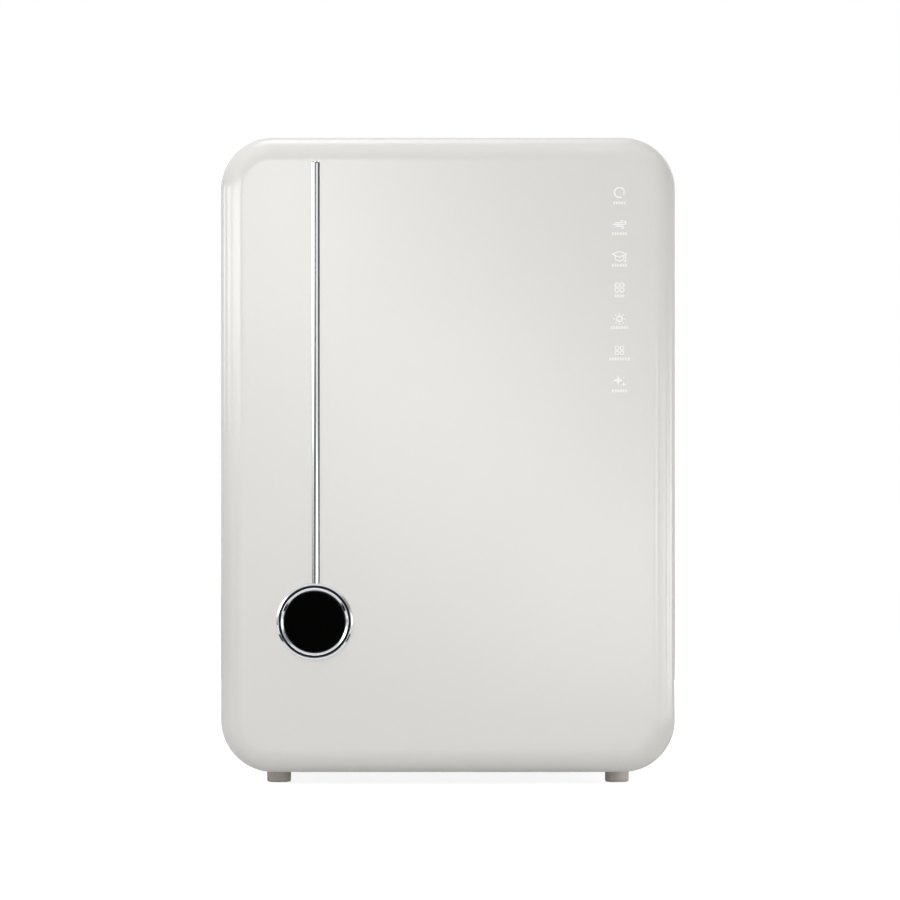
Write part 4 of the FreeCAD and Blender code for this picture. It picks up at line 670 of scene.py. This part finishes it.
def rod(bm, start, end, radius):
    """A round bar between two points."""
    start, end = Vector(start), Vector(end)
    way = end - start
    turn = way.to_track_quat("Z", "Y").to_matrix().to_4x4()
    bmesh.ops.create_cone(bm, cap_ends=True, segments=12, radius1=radius, radius2=radius,
                          depth=way.length, matrix=Matrix.Translation((start + end) / 2) @ turn)


# Filter paper: a felt of fine fibres that lie every way, dull and slightly hairy.
FIBRE = 0.556 * MM
filter_paper, filter_tree, filter_place = start_material("grey_filter_paper")
filter_felt = add_node(filter_tree, "TexNoise", {
    "Vector": filter_place, "Scale": 1 / FIBRE, "Detail": 4.0, "Distortion": 1.5})
filter_tone = add_node(filter_tree, "MixRGB", {0: filter_felt, 1: "3C3E42", 2: "5B5E63"})
filter_bump = add_node(filter_tree, "Bump",
                       {"Strength": 0.5, "Distance": 0.2 * MM, "Height": filter_felt})
finish_material(filter_tree, Base_Color=filter_tone, Roughness=0.9, Sheen_Weight=0.3,
                Normal=filter_bump)

from_frame("filter_frame", "filter_grille", matt_plastic, edge=0.3 * MM)

PLEATS = 22
PAPER = 0.4 * MM
paper_low, paper_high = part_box("filter_medium")
pleat_start = paper_low.x + PAPER
pleat_pitch = (paper_high.x - paper_low.x - 2 * PAPER) / PLEATS
pleat_front, pleat_back = paper_low.y + 2 * PAPER, paper_high.y - 2 * PAPER
pleat_mesh = bmesh.new()
pleat_line = [pleat_mesh.verts.new((pleat_start, pleat_back, paper_low.z))]
for pleat in range(PLEATS):
    for half, depth in ((0.5, pleat_front), (1.0, pleat_back)):
        across = pleat_start + (pleat + half) * pleat_pitch
        fold = pleat_mesh.verts.new((across, depth, paper_low.z))
        pleat_mesh.edges.new((pleat_line[-1], fold))
        pleat_line.append(fold)
round_corners(pleat_mesh, pleat_line[1:-1], 0.5 * MM, 3)
extrude_edges(pleat_mesh, list(pleat_mesh.edges), (0, 0, paper_high.z - paper_low.z))
bmesh.ops.recalc_face_normals(pleat_mesh, faces=pleat_mesh.faces)
bmesh.ops.solidify(pleat_mesh, geom=list(pleat_mesh.faces), thickness=PAPER)
add_piece(pleat_mesh, "filter_pleats", filter_paper, ["filter_medium"])


# Racks
# Two baskets of electropolished stainless wire, spot-welded. Each has a heavy frame,
# thinner bars from front to back, cross bars below them and a leaning rim.

# Drawn wire after electropolishing: bright, with faint marks along and around it.
bright_wire = metal("electropolished_wire", "D0D2D4", "C0C2C5", 0.15, (1, 1, 1), 1.43, 0.08)

FRAME_WIRE = 2.0 * MM
BAR_WIRE = 1.3 * MM
RIM_LEAN = 6 * MM
FRAME_BEND = 10 * MM
BAR_COUNT = 15
BAR_PITCH = 15.4 * MM
CROSS_HALF = 113 * MM
CROSS_DROP = 2.3 * MM
CROSS_PLACES = (-60 * MM, 0.0, 60 * MM)
SIDE_POSTS = (-60 * MM, -20 * MM, 20 * MM, 60 * MM)


def flat_loop(reach, z, radius, bend):
    """A lying ring of round wire with round corners, centred on the cabinet."""
    bm = bmesh.new()
    bmesh.ops.create_circle(bm, radius=radius, segments=14,
                            matrix=Matrix.Translation((-radius, 0, 0)))
    sweep_round(bm, 2 * (reach[0] + radius), 2 * (reach[1] + radius), bend + radius, (0.0, 0.0), 10)
    bmesh.ops.rotate(bm, verts=bm.verts, cent=(0, 0, 0),
                     matrix=Matrix.Rotation(-math.pi / 2, 3, "X"))
    bmesh.ops.translate(bm, verts=bm.verts, vec=(0, 0, z))
    return bm


bar_places = [(step - BAR_COUNT // 2) * BAR_PITCH for step in range(BAR_COUNT)]
for level in ("lower", "upper"):
    frame_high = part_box(level + "_rack_floor")[1]
    rim_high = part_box(level + "_rack_rim")[1]
    reach = (frame_high.x - FRAME_WIRE, frame_high.y - FRAME_WIRE)
    wire_z = frame_high.z - FRAME_WIRE
    cross_z = wire_z - CROSS_DROP
    bars = flat_loop(reach, wire_z, FRAME_WIRE, FRAME_BEND)
    for x in bar_places:
        rod(bars, (x, -reach[1], wire_z), (x, reach[1], wire_z), BAR_WIRE)
    for y in CROSS_PLACES:
        rod(bars, (-CROSS_HALF, y, cross_z), (CROSS_HALF, y, cross_z), BAR_WIRE)
    add_piece(bars, level + "_rack_grille", bright_wire, [level + "_rack_floor"], crease=50)
    rim_reach = (reach[0] - RIM_LEAN, reach[1] - RIM_LEAN)
    rim_z = rim_high.z - FRAME_WIRE
    rim = flat_loop(rim_reach, rim_z, FRAME_WIRE, FRAME_BEND)
    for way in (-1, 1):
        for x in bar_places[::2]:
            rod(rim, (x, way * reach[1], wire_z), (x, way * rim_reach[1], rim_z), BAR_WIRE)
        for y in SIDE_POSTS:
            rod(rim, (way * reach[0], y, wire_z), (way * rim_reach[0], y, rim_z), BAR_WIRE)
    add_piece(rim, level + "_rack_basket_rim", bright_wire, [level + "_rack_rim"], crease=50)


# Drip tray
# A shallow pressed tray of satin stainless sheet that lies on the chamber's floor.

# Stainless with a satin brushed finish, brushed from side to side.
satin_steel = metal("satin_stainless", "C9CBCD", "BCBEC0", 0.28, (0.03, 1, 1), 1.11, 0.12)

TRAY_WALL = 1.6 * MM
TRAY_CORNER = 10 * MM
TRAY_BAND = 7 * MM
TRAY_SLOPE = 3 * MM
TRAY_SINK = 0.5 * MM


def flat_blank(low, high, corner, steps, upright=False):
    """A flat face with round corners at the bottom of a box, or upright at its front."""
    bm = bmesh.new()
    turn = -math.pi / 2 if upright else 0
    bmesh.ops.create_grid(bm, x_segments=1, y_segments=1, size=0.5,
                          matrix=Matrix.Rotation(turn, 4, "X"))
    size, middle = high - low, (low + high) / 2
    thin = 1 if upright else 2
    size[thin], middle[thin] = 1, low[thin]
    bmesh.ops.scale(bm, verts=bm.verts, vec=size)
    bmesh.ops.translate(bm, verts=bm.verts, vec=middle)
    round_corners(bm, list(bm.verts), corner, steps)
    return bm


def raise_face(bm, face, move):
    """Extrudes one face and gives its new end."""
    grown = bmesh.ops.extrude_face_region(bm, geom=[face])["geom"]
    bmesh.ops.translate(bm, verts=only(grown, bmesh.types.BMVert), vec=move)
    return only(grown, bmesh.types.BMFace)[0]


tray_low, tray_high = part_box("drip_tray")
tray_depth = tray_high.z - tray_low.z
tray_mesh = flat_blank(tray_low, tray_high, TRAY_CORNER, 10)
tray_top = raise_face(tray_mesh, list(tray_mesh.faces)[0], (0, 0, tray_depth))
bmesh.ops.inset_region(tray_mesh, faces=[tray_top], thickness=TRAY_WALL)
tray_well = raise_face(tray_mesh, tray_top, (0, 0, TRAY_WALL - tray_depth))
bmesh.ops.delete(tray_mesh, geom=[face for face in tray_mesh.faces if face == tray_top],
                 context="FACES_ONLY")
bmesh.ops.inset_region(tray_mesh, faces=[tray_well], thickness=TRAY_BAND)
bmesh.ops.inset_region(tray_mesh, faces=[tray_well], thickness=TRAY_SLOPE, depth=-TRAY_SINK)
add_piece(tray_mesh, "pressed_drip_tray", satin_steel, ["drip_tray"], edge=0.5 * MM)


# Door front
# One deep shell of the same glossy ABS, as wide and tall as the case. Its front edge has
# a large soft round. It is pierced for the button and grooved for the trim bar.

def boundary_loop(bm, y):
    """The open edges that lie at one depth."""
    return [edge for edge in bm.edges if edge.is_boundary
            and all(abs(vert.co.y - y) < 1e-6 for vert in edge.verts)]


FRONT_ROUND = 16 * MM
INNER_ROUND = 13 * MM
FACE_RIM = 1 * MM
SHELL_SKIN = 1.4 * MM
GROOVE_GAP = 0.15 * MM
HOLE_PLAY = 0.35 * MM
door_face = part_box("door_outer_shell")[0].y
door_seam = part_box("door_inner_panel")[0].y
bezel_low, bezel_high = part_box("button_bezel")
bar_low, bar_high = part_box("chrome_strip")
# The bright bar is a little narrower on the left and wider on the right than the plain ridge.
BAR_SIDES = (bar_low.x + 1.2 * MM, bar_high.x + 0.3 * MM)
BEZEL_RADIUS = (bezel_high.x - bezel_low.x) / 2
BUTTON = (bezel_low + bezel_high) / 2
BUTTON.y = 0

door_mesh = bmesh.new()
draw_section(door_mesh, (
    (-FRONT_ROUND - FACE_RIM, door_face, 0),
    (-FRONT_ROUND, door_face, 0),
    (0, door_face, FRONT_ROUND),
    (0, door_seam, 0.3 * MM),
    (-WALL, door_seam, 0.3 * MM),
    (-WALL, door_face + SHELL_SKIN, INNER_ROUND),
    (-FRONT_ROUND - FACE_RIM, door_face + SHELL_SKIN, 0),
), closed=False)
sweep_round(door_mesh, BODY_WIDTH, BODY_HEIGHT, BODY_CORNER, BODY_MIDDLE, 36)
button_hole = bmesh.ops.create_circle(
    door_mesh, radius=BEZEL_RADIUS - HOLE_PLAY, segments=96,
    matrix=Matrix.Translation((BUTTON.x, door_face, BUTTON.z))
    @ Matrix.Rotation(math.pi / 2, 4, "X"))["verts"]
groove_corners = bmesh.ops.create_circle(door_mesh, radius=1.0, segments=4)["verts"]
for vert, (side, end) in zip(groove_corners, ((1, 1), (-1, 1), (-1, -1), (1, -1))):
    vert.co = (
        BAR_SIDES[1] + GROOVE_GAP if side > 0 else BAR_SIDES[0] - GROOVE_GAP,
        door_face,
        bar_high.z + GROOVE_GAP if end > 0 else bar_low.z - 0.1 * MM,
    )
hole_edges = {edge for vert in button_hole + groove_corners for edge in vert.link_edges}
bmesh.ops.triangle_fill(door_mesh, use_beauty=True,
                        edges=list(set(boundary_loop(door_mesh, door_face)) | hole_edges))
extrude_edges(door_mesh, list(hole_edges), (0, SHELL_SKIN, 0))
bmesh.ops.triangle_fill(door_mesh, use_beauty=True,
                        edges=boundary_loop(door_mesh, door_face + SHELL_SKIN))
add_piece(door_mesh, "door_front", case_plastic, ["door_outer_shell"])


# Trim bar
# A bright die-cast moulding in the door's groove: a bevel on the left, a broader one on the
# right, and beside each a groove filled with a black strip of painted shade. Its top end
# slopes back.

# Bright chromium plate: a mirror with a hint of blue and hardly any marks.
bright_chrome = metal("bright_chromium_plate", "D9DBDE", "D2D4D8", 0.045, (1, 1, 0.05), 5.0,
                      0.015)
# Both grooves are filled with a dull black strip, painted shade for the dark of the grooves.
painted_groove_shade = moulded("painted_groove_shade", "0C0C0D", "0A0A0B", 0.5, 1.25, 0.05, IOR=1.5,
                        Specular_IOR_Level=0.2)

BAR_GROOVE = (1.6 * MM, 2.85 * MM)
BAR_RIGHT_FACE = 4.5 * MM
BAR_SLOPE = 0.8
SHADE_STRIP = 0.2 * MM
SHADE_STRIP_LAP = 0.1 * MM
bar_width = BAR_SIDES[1] - BAR_SIDES[0]


def upright_bar(corners, low, high):
    """A section drawn from the bar's left side, carried upwards to an end that slopes back."""
    bm = bmesh.new()
    draw_section(bm, corners)
    base = bmesh.ops.contextual_create(bm, geom=list(bm.edges))["faces"]
    bmesh.ops.translate(bm, verts=bm.verts, vec=(BAR_SIDES[0], 0, low))
    top = bmesh.ops.extrude_face_region(bm, geom=base)["geom"]
    for vert in only(top, bmesh.types.BMVert):
        vert.co.z = high - BAR_SLOPE * max(0.0, door_face - vert.co.y)
    return bm


bar_mesh = upright_bar((
    (0, bar_high.y, 0),
    (0, door_face - 0.5 * MM, 0.15 * MM),
    (BAR_GROOVE[0], door_face - 1.0 * MM, 0.1 * MM),
    (BAR_GROOVE[0], door_face, 0),
    (BAR_GROOVE[1], door_face, 0),
    (BAR_GROOVE[1], bar_low.y, 0.1 * MM),
    (BAR_RIGHT_FACE, bar_low.y + 0.16 * MM, 0.1 * MM),
    (BAR_RIGHT_FACE, door_face, 0),
    (bar_width, door_face, 0),
    (bar_width, bar_high.y, 0),
), bar_low.z, bar_high.z)
add_piece(bar_mesh, "door_trim_bar", bright_chrome, ["chrome_strip"])
# Black strips in both grooves: painted shade, dark under any light.
groove_shade_meshes = [upright_bar((
    (left - SHADE_STRIP_LAP, door_face + SHADE_STRIP, 0),
    (left - SHADE_STRIP_LAP, door_face - SHADE_STRIP, 0),
    (right + SHADE_STRIP_LAP, door_face - SHADE_STRIP, 0),
    (right + SHADE_STRIP_LAP, door_face + SHADE_STRIP, 0),
), bar_low.z, bar_high.z - SHADE_STRIP) for left, right in (BAR_GROOVE, (BAR_RIGHT_FACE, bar_width))]
add_piece(gather(groove_shade_meshes), "door_trim_groove_shade", painted_groove_shade, body="door")


# Button
# A fixed bright bezel with a sleeve guides a round push button: a bright ring pressed on
# a black gloss disc, a black carrier with a square stem, and a coil spring round it.

# Piano-black ABS: a deep even black under a mirror-smooth skin.
black_gloss = moulded("piano_black_abs", "060606", "050505", 0.02, 4.17, 0.01, IOR=1.5)
# Acetal for sliding parts: mid grey, waxy and satin.
grey_acetal = moulded("grey_acetal", "8E9093", "86888B", 0.34, 1.11, 0.08, patch=25, IOR=1.48)
# Drawn spring steel with faint marks along the wire.
spring_steel = metal("spring_steel", "B9BBBE", "A6A8AB", 0.22, (1, 1, 1), 1.11, 0.1)

BEZEL_BORE = 26.3 * MM
BEZEL_STEP = 0.75 * MM
bezel_mesh = lathe((
    (BEZEL_BORE, bezel_high.y, 0),
    (BEZEL_BORE, bezel_low.y, 0.15 * MM),
    (BEZEL_BORE + 0.2 * MM, bezel_low.y, 0.05 * MM),
    (BEZEL_RADIUS, bezel_low.y + 0.4 * MM, 0.2 * MM),
    (BEZEL_RADIUS, door_face, 0),
    (BEZEL_RADIUS - BEZEL_STEP, door_face, 0),
    (BEZEL_RADIUS - BEZEL_STEP, bezel_high.y, 0),
), BUTTON, steps=128)
add_piece(bezel_mesh, "button_bright_bezel", bright_chrome, ["button_bezel"])

ring_low, ring_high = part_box("button_ring")
RING_RADIUS = (ring_high.x - ring_low.x) / 2 - 0.35 * MM
disc_low, disc_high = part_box("button_disc")
DISC_RADIUS = (disc_high.x - disc_low.x) / 2 + 0.25 * MM
ring_mesh = lathe((
    (DISC_RADIUS + 0.05 * MM, ring_high.y, 0),
    (DISC_RADIUS + 0.05 * MM, ring_low.y + 0.55 * MM, 0.1 * MM),
    (RING_RADIUS - 0.2 * MM, ring_low.y, 0.1 * MM),
    (RING_RADIUS, ring_low.y + 0.05 * MM, 0.05 * MM),
    (RING_RADIUS, ring_high.y, 0),
), BUTTON, steps=128)
add_piece(ring_mesh, "button_bright_ring", bright_chrome, ["button_ring"])

disc_mesh = lathe((
    (0, disc_low.y, 0),
    (DISC_RADIUS - 0.6 * MM, disc_low.y, 0),
    (DISC_RADIUS, disc_low.y, 0.3 * MM),
    (DISC_RADIUS, disc_high.y, 0),
    (0, disc_high.y, 0),
), BUTTON, steps=128, closed=False)
add_piece(disc_mesh, "button_black_disc", black_gloss, ["button_disc"])
from_frame("button_plunger", "button_carrier", black_nylon, edge=0.25 * MM)
from_frame("button_guide", "button_guide_plate", grey_acetal, edge=0.3 * MM)
# The coil is given the two bodies it spans, but it rides on neither.
push_low, push_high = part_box("button_spring")
from_frame("button_spring", "button_coil", spring_steel, crease=50,
           spans=("door", "button", (0, push_high.y, 0), (0, push_low.y, 0)))


# Catch
# The stem's wedge pushes a sliding acetal plate sideways, whose hook leaves the striker.
# A small coil pushes it back.

from_frame("latch_slider", "catch_slider", grey_acetal, edge=0.25 * MM)
return_low, return_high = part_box("latch_spring")
from_frame("latch_spring", "catch_coil", spring_steel, crease=50,
           spans=("door", "latch", (return_high.x, 0, 0), (return_low.x, 0, 0)))


# Symbols
# Seven white symbols printed on the door front, each with a row of pale blocks below it
# in place of words. A clear guide and a touch board sit behind; the inks' faint glow is painted.

SCREEN_DOT = 0.4 * MM


def printing_ink(name, full, thin, light):
    """Opaque printing ink with the faint dots of the screen, and a faint painted glow as if lit
    from behind.
    """
    material, tree, place = start_material(name)
    dots = add_node(tree, "TexNoise", {"Vector": place, "Scale": 1 / SCREEN_DOT, "Detail": 2.0})
    tone = add_node(tree, "MixRGB", {0: dots, 1: full, 2: thin})
    # The emission is a painted glow; nothing behind the print gives light.
    finish_material(tree, Base_Color=tone, Roughness=0.35, IOR=1.5, Emission_Color=WHITE,
                    Emission_Strength=light)
    return material


# White ink, fully opaque, with a faint painted glow.
white_print = printing_ink("white_printing_ink", "FFFFFF", "F2F2F2", 0.10)
# The same ink in a thinner layer, with a fainter painted glow.
pale_print = printing_ink("pale_printing_ink", "FAFAF8", "F2F2F0", 0.06)
# Clear acrylic, moulded, with a slightly wavy skin.
RIPPLE = 3.33 * MM
clear_acrylic, acrylic_tree, acrylic_place = start_material("clear_acrylic")
acrylic_wave = add_node(acrylic_tree, "TexNoise", {"Vector": acrylic_place, "Scale": 1 / RIPPLE})
acrylic_bump = add_node(acrylic_tree, "Bump",
                        {"Strength": 0.1, "Distance": 0.1 * MM, "Height": acrylic_wave})
finish_material(acrylic_tree, Base_Color="F6FAFB", Roughness=0.05, IOR=1.49,
                Transmission_Weight=1.0, Normal=acrylic_bump)

INK = 0.08 * MM
LINE = 0.85 * MM
SYMBOL_X = 124.2 * MM
BLOCK_PITCH = 1.9 * MM
BLOCK_WIDTH = 1.45 * MM
BLOCK_HEIGHT = 2.1 * MM
symbol_mesh = bmesh.new()


def ink_arc(spot, radius, start, sweep, width=LINE):
    """A printed arc: a short edge turned about a point of the door front."""
    steps = max(3, round(abs(sweep) / 12))
    way = Vector((math.cos(math.radians(start)), 0, math.sin(math.radians(start))))
    centre = Vector((spot[0], 0, spot[1])) * MM
    ends = [symbol_mesh.verts.new(centre + way * (radius * MM + side * width / 2))
            for side in (-1, 1)]
    short = symbol_mesh.edges.new(ends)
    bmesh.ops.spin(symbol_mesh, geom=ends + [short], cent=centre, axis=(0, -1, 0),
                   angle=math.radians(sweep), steps=steps, use_merge=abs(sweep) == 360,
                   use_duplicate=False)


def ink_line(start, end, width=LINE):
    """A printed stroke: a short edge carried along a straight way."""
    start, end = (Vector((spot[0], 0, spot[1])) * MM for spot in (start, end))
    way = (end - start).normalized()
    across = Vector((-way.z, 0, way.x)) * width / 2
    ends = [symbol_mesh.verts.new(start + across * side) for side in (-1, 1)]
    short = symbol_mesh.edges.new(ends)
    extrude_edges(symbol_mesh, [short], end - start)


def ink_path(spots, closed=False, width=LINE):
    """Printed strokes from spot to spot."""
    pairs = list(zip(spots, spots[1:])) + ([(spots[-1], spots[0])] if closed else [])
    for start, end in pairs:
        ink_line(start, end, width)


def ink_dot(x, z, radius):
    """A printed disc: an arc as broad as the disc's radius."""
    ink_arc((x, z), radius / 2, 0, 360, radius * MM)


# The symbols, each in millimetres about its own middle.
def repeat_arcs():
    ink_arc((0, 0), 3.6, -35, 330, 1.1 * MM)
    ink_path([(2.6, 0.2), (4.8, 0.2), (3.7, -1.3)], closed=True, width=0.6 * MM)


def wind():
    ink_line((-3.6, 1.3), (1.2, 1.3))
    ink_arc((1.2, 2.1), 0.8, -90, 235)
    ink_line((-5.0, 0), (3.6, 0))
    ink_arc((3.6, 1.0), 1.0, -90, 235)
    ink_line((-3.0, -1.3), (2.0, -1.3))
    ink_arc((2.0, -2.1), 0.8, 90, -235)


def school_cap():
    ink_path([(-5.4, 1.7), (0, 3.8), (5.4, 1.7), (0, -0.4)], closed=True)
    ink_path([(-3.0, 0.4), (-3.0, -2.2), (0, -3.3), (3.0, -2.2), (3.0, 0.4)])
    ink_line((4.4, 1.2), (4.4, -2.8))
    ink_dot(4.4, -3.3, 0.8)


def fan():
    for x, z in ((1.8, 1.75), (-1.8, 1.75), (-1.8, -1.75), (1.8, -1.75)):
        ink_arc((x, z), 1.5, 0, 360, 1.0 * MM)
    ink_dot(0, 0, 1.0)


def sun():
    ink_arc((0, 0), 2.0, 0, 360, 1.1 * MM)
    for turn in range(8):
        x, z = math.cos(turn * math.pi / 4), math.sin(turn * math.pi / 4)
        ink_line((3.3 * x, 3.3 * z), (4.2 * x, 4.2 * z), 0.9 * MM)


def four_cells():
    for x, z in ((1.85, 1.4), (-1.85, 1.4), (-1.85, -2.1), (1.85, -2.1)):
        left, right, low, high = x - 1.2, x + 1.2, z - 1.2, z + 1.2
        ink_path([(left, low), (right, low), (right, high), (left, high)], closed=True)


def ink_star(x, z, reach, waist):
    """A printed star with four sharp points."""
    rim = [(reach if turn % 2 == 0 else waist, turn * math.pi / 4) for turn in range(8)]
    spots = [(x + far * math.cos(way), 0, z + far * math.sin(way)) for far, way in rim]
    symbol_mesh.faces.new([symbol_mesh.verts.new(Vector(spot) * MM) for spot in spots])


def sparkle():
    ink_star(-0.9, 0.6, 4.0, 1.25)
    ink_star(3.1, -2.4, 2.0, 0.75)
    ink_dot(3.0, 2.6, 0.5)


# Each symbol's height on the door, half the length of its label, and how far that hangs below.
symbols = (
    (429.6, repeat_arcs, 4.8, 7.5), (406.5, wind, 5.7, 6.7), (383.2, school_cap, 5.6, 6.3),
    (360.7, fan, 3.4, 6.1), (338.1, sun, 6.5, 6.4), (315.6, four_cells, 7.7, 6.6),
    (292.9, sparkle, 5.7, 7.0),
)
label_mesh = bmesh.new()
for height, draw, label_half, drop in symbols:
    before = set(symbol_mesh.verts)
    draw()
    drawn = [vert for vert in symbol_mesh.verts if vert not in before]
    bmesh.ops.translate(symbol_mesh, verts=drawn, vec=(SYMBOL_X, door_face - INK, height * MM))
    blocks = round(2 * label_half * MM / BLOCK_PITCH)
    for block in range(blocks):
        corners = bmesh.ops.create_grid(label_mesh, x_segments=1, y_segments=1, size=0.5)["verts"]
        middle = SYMBOL_X + (block - (blocks - 1) / 2) * BLOCK_PITCH
        for vert in corners:
            vert.co = (middle + vert.co.x * BLOCK_WIDTH, door_face - INK,
                       (height - drop) * MM + vert.co.y * BLOCK_HEIGHT)
for printed, name, ink in ((symbol_mesh, "door_symbols", white_print),
                           (label_mesh, "door_label_bars", pale_print)):
    bmesh.ops.recalc_face_normals(printed, faces=printed.faces)
    grown = bmesh.ops.extrude_face_region(printed, geom=list(printed.faces), use_keep_orig=True)
    bmesh.ops.translate(printed, verts=only(grown["geom"], bmesh.types.BMVert),
                        vec=(0, INK + 0.05 * MM, 0))
    add_piece(printed, name, ink, body="door")
from_frame("light_guide", "symbol_light_guide", clear_acrylic, edge=0.3 * MM)
# The same solder mask on a board that stands upright.
upright_mask = board_skin("green_touch_board", *MASK_GREENS, flat=False)
from_frame("touch_board", "symbol_touch_board", upright_mask, edge=0.15 * MM)


# Door back
# A shallow tray of satin white ABS closes the door from behind, on ten sunk screws. It
# carries acetal bushes for the hinge pins and a magnet for the sensor.

# Nickel plate on a sintered magnet.
magnet_nickel = metal("nickel_plated_magnet", "C4C4C2", "B5B5B3", 0.2, relief=0.05)

from_frame("door_inner_panel", "door_back_panel", satin_plastic, edge=0.25 * MM)
from_frame("door_screws", "door_back_screws", zinc_steel, edge=0.1 * MM)
from_frame("hinge_bushes", "hinge_bush_set", grey_acetal, edge=0.15 * MM)
from_frame("door_magnet", "door_sensor_magnet", magnet_nickel, edge=0.3 * MM)


# Seal
# A ring of pale silicone rubber pressed into the door back, with two soft beads that
# meet the face plate round the chamber.

# Silicone rubber: milky, a little see-through, with a soft waxy sheen.
silicone = moulded("milky_silicone", "D5D6D5", "CBCCCB", 0.45, 2.0, 0.06, patch=25, IOR=1.41,
                   Subsurface_Weight=0.25, Subsurface_Scale=1.5 * MM)

seal_low, seal_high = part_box("door_gasket")
seal_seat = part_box("door_reflector")[0].y
SEAL_BAND = 6 * MM
SEAL_CORNER = 21 * MM
seal_mesh = bmesh.new()
draw_section(seal_mesh, (
    (0, seal_seat, 0),
    (0, seal_high.y, 1.0 * MM),
    (-2.2 * MM, seal_high.y, 0.6 * MM),
    (-3.0 * MM, seal_high.y - 0.8 * MM, 0.3 * MM),
    (-3.8 * MM, seal_high.y, 0.6 * MM),
    (-SEAL_BAND, seal_high.y, 1.0 * MM),
    (-SEAL_BAND, seal_seat, 0),
    (-5.0 * MM, seal_low.y, 0),
    (-1.0 * MM, seal_low.y, 0),
))
sweep_round(seal_mesh, seal_high.x - seal_low.x, seal_high.z - seal_low.z, SEAL_CORNER,
            (0.0, (seal_low.z + seal_high.z) / 2), 16)
add_piece(seal_mesh, "door_seal", silicone, ["door_gasket"])


# Reflector
# A polished stainless sheet glued to the door back inside the seal, with a shallow
# pressed field that keeps it flat.

SHEET_CORNER = 12 * MM
FIELD_EDGE = 9 * MM
FIELD_SLOPE = 1.2 * MM
FIELD_SINK = 0.4 * MM
sheet_low, sheet_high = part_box("door_reflector")
sheet_mesh = flat_blank(sheet_low, sheet_high, SHEET_CORNER, 12, upright=True)
sheet_face = raise_face(sheet_mesh, list(sheet_mesh.faces)[0], (0, sheet_high.y - sheet_low.y, 0))
bmesh.ops.inset_region(sheet_mesh, faces=[sheet_face], thickness=FIELD_EDGE)
bmesh.ops.inset_region(sheet_mesh, faces=[sheet_face], thickness=FIELD_SLOPE, depth=-FIELD_SINK)
add_piece(sheet_mesh, "door_reflector_sheet", mirror_steel, ["door_reflector"], edge=0.15 * MM,
          crease=15)
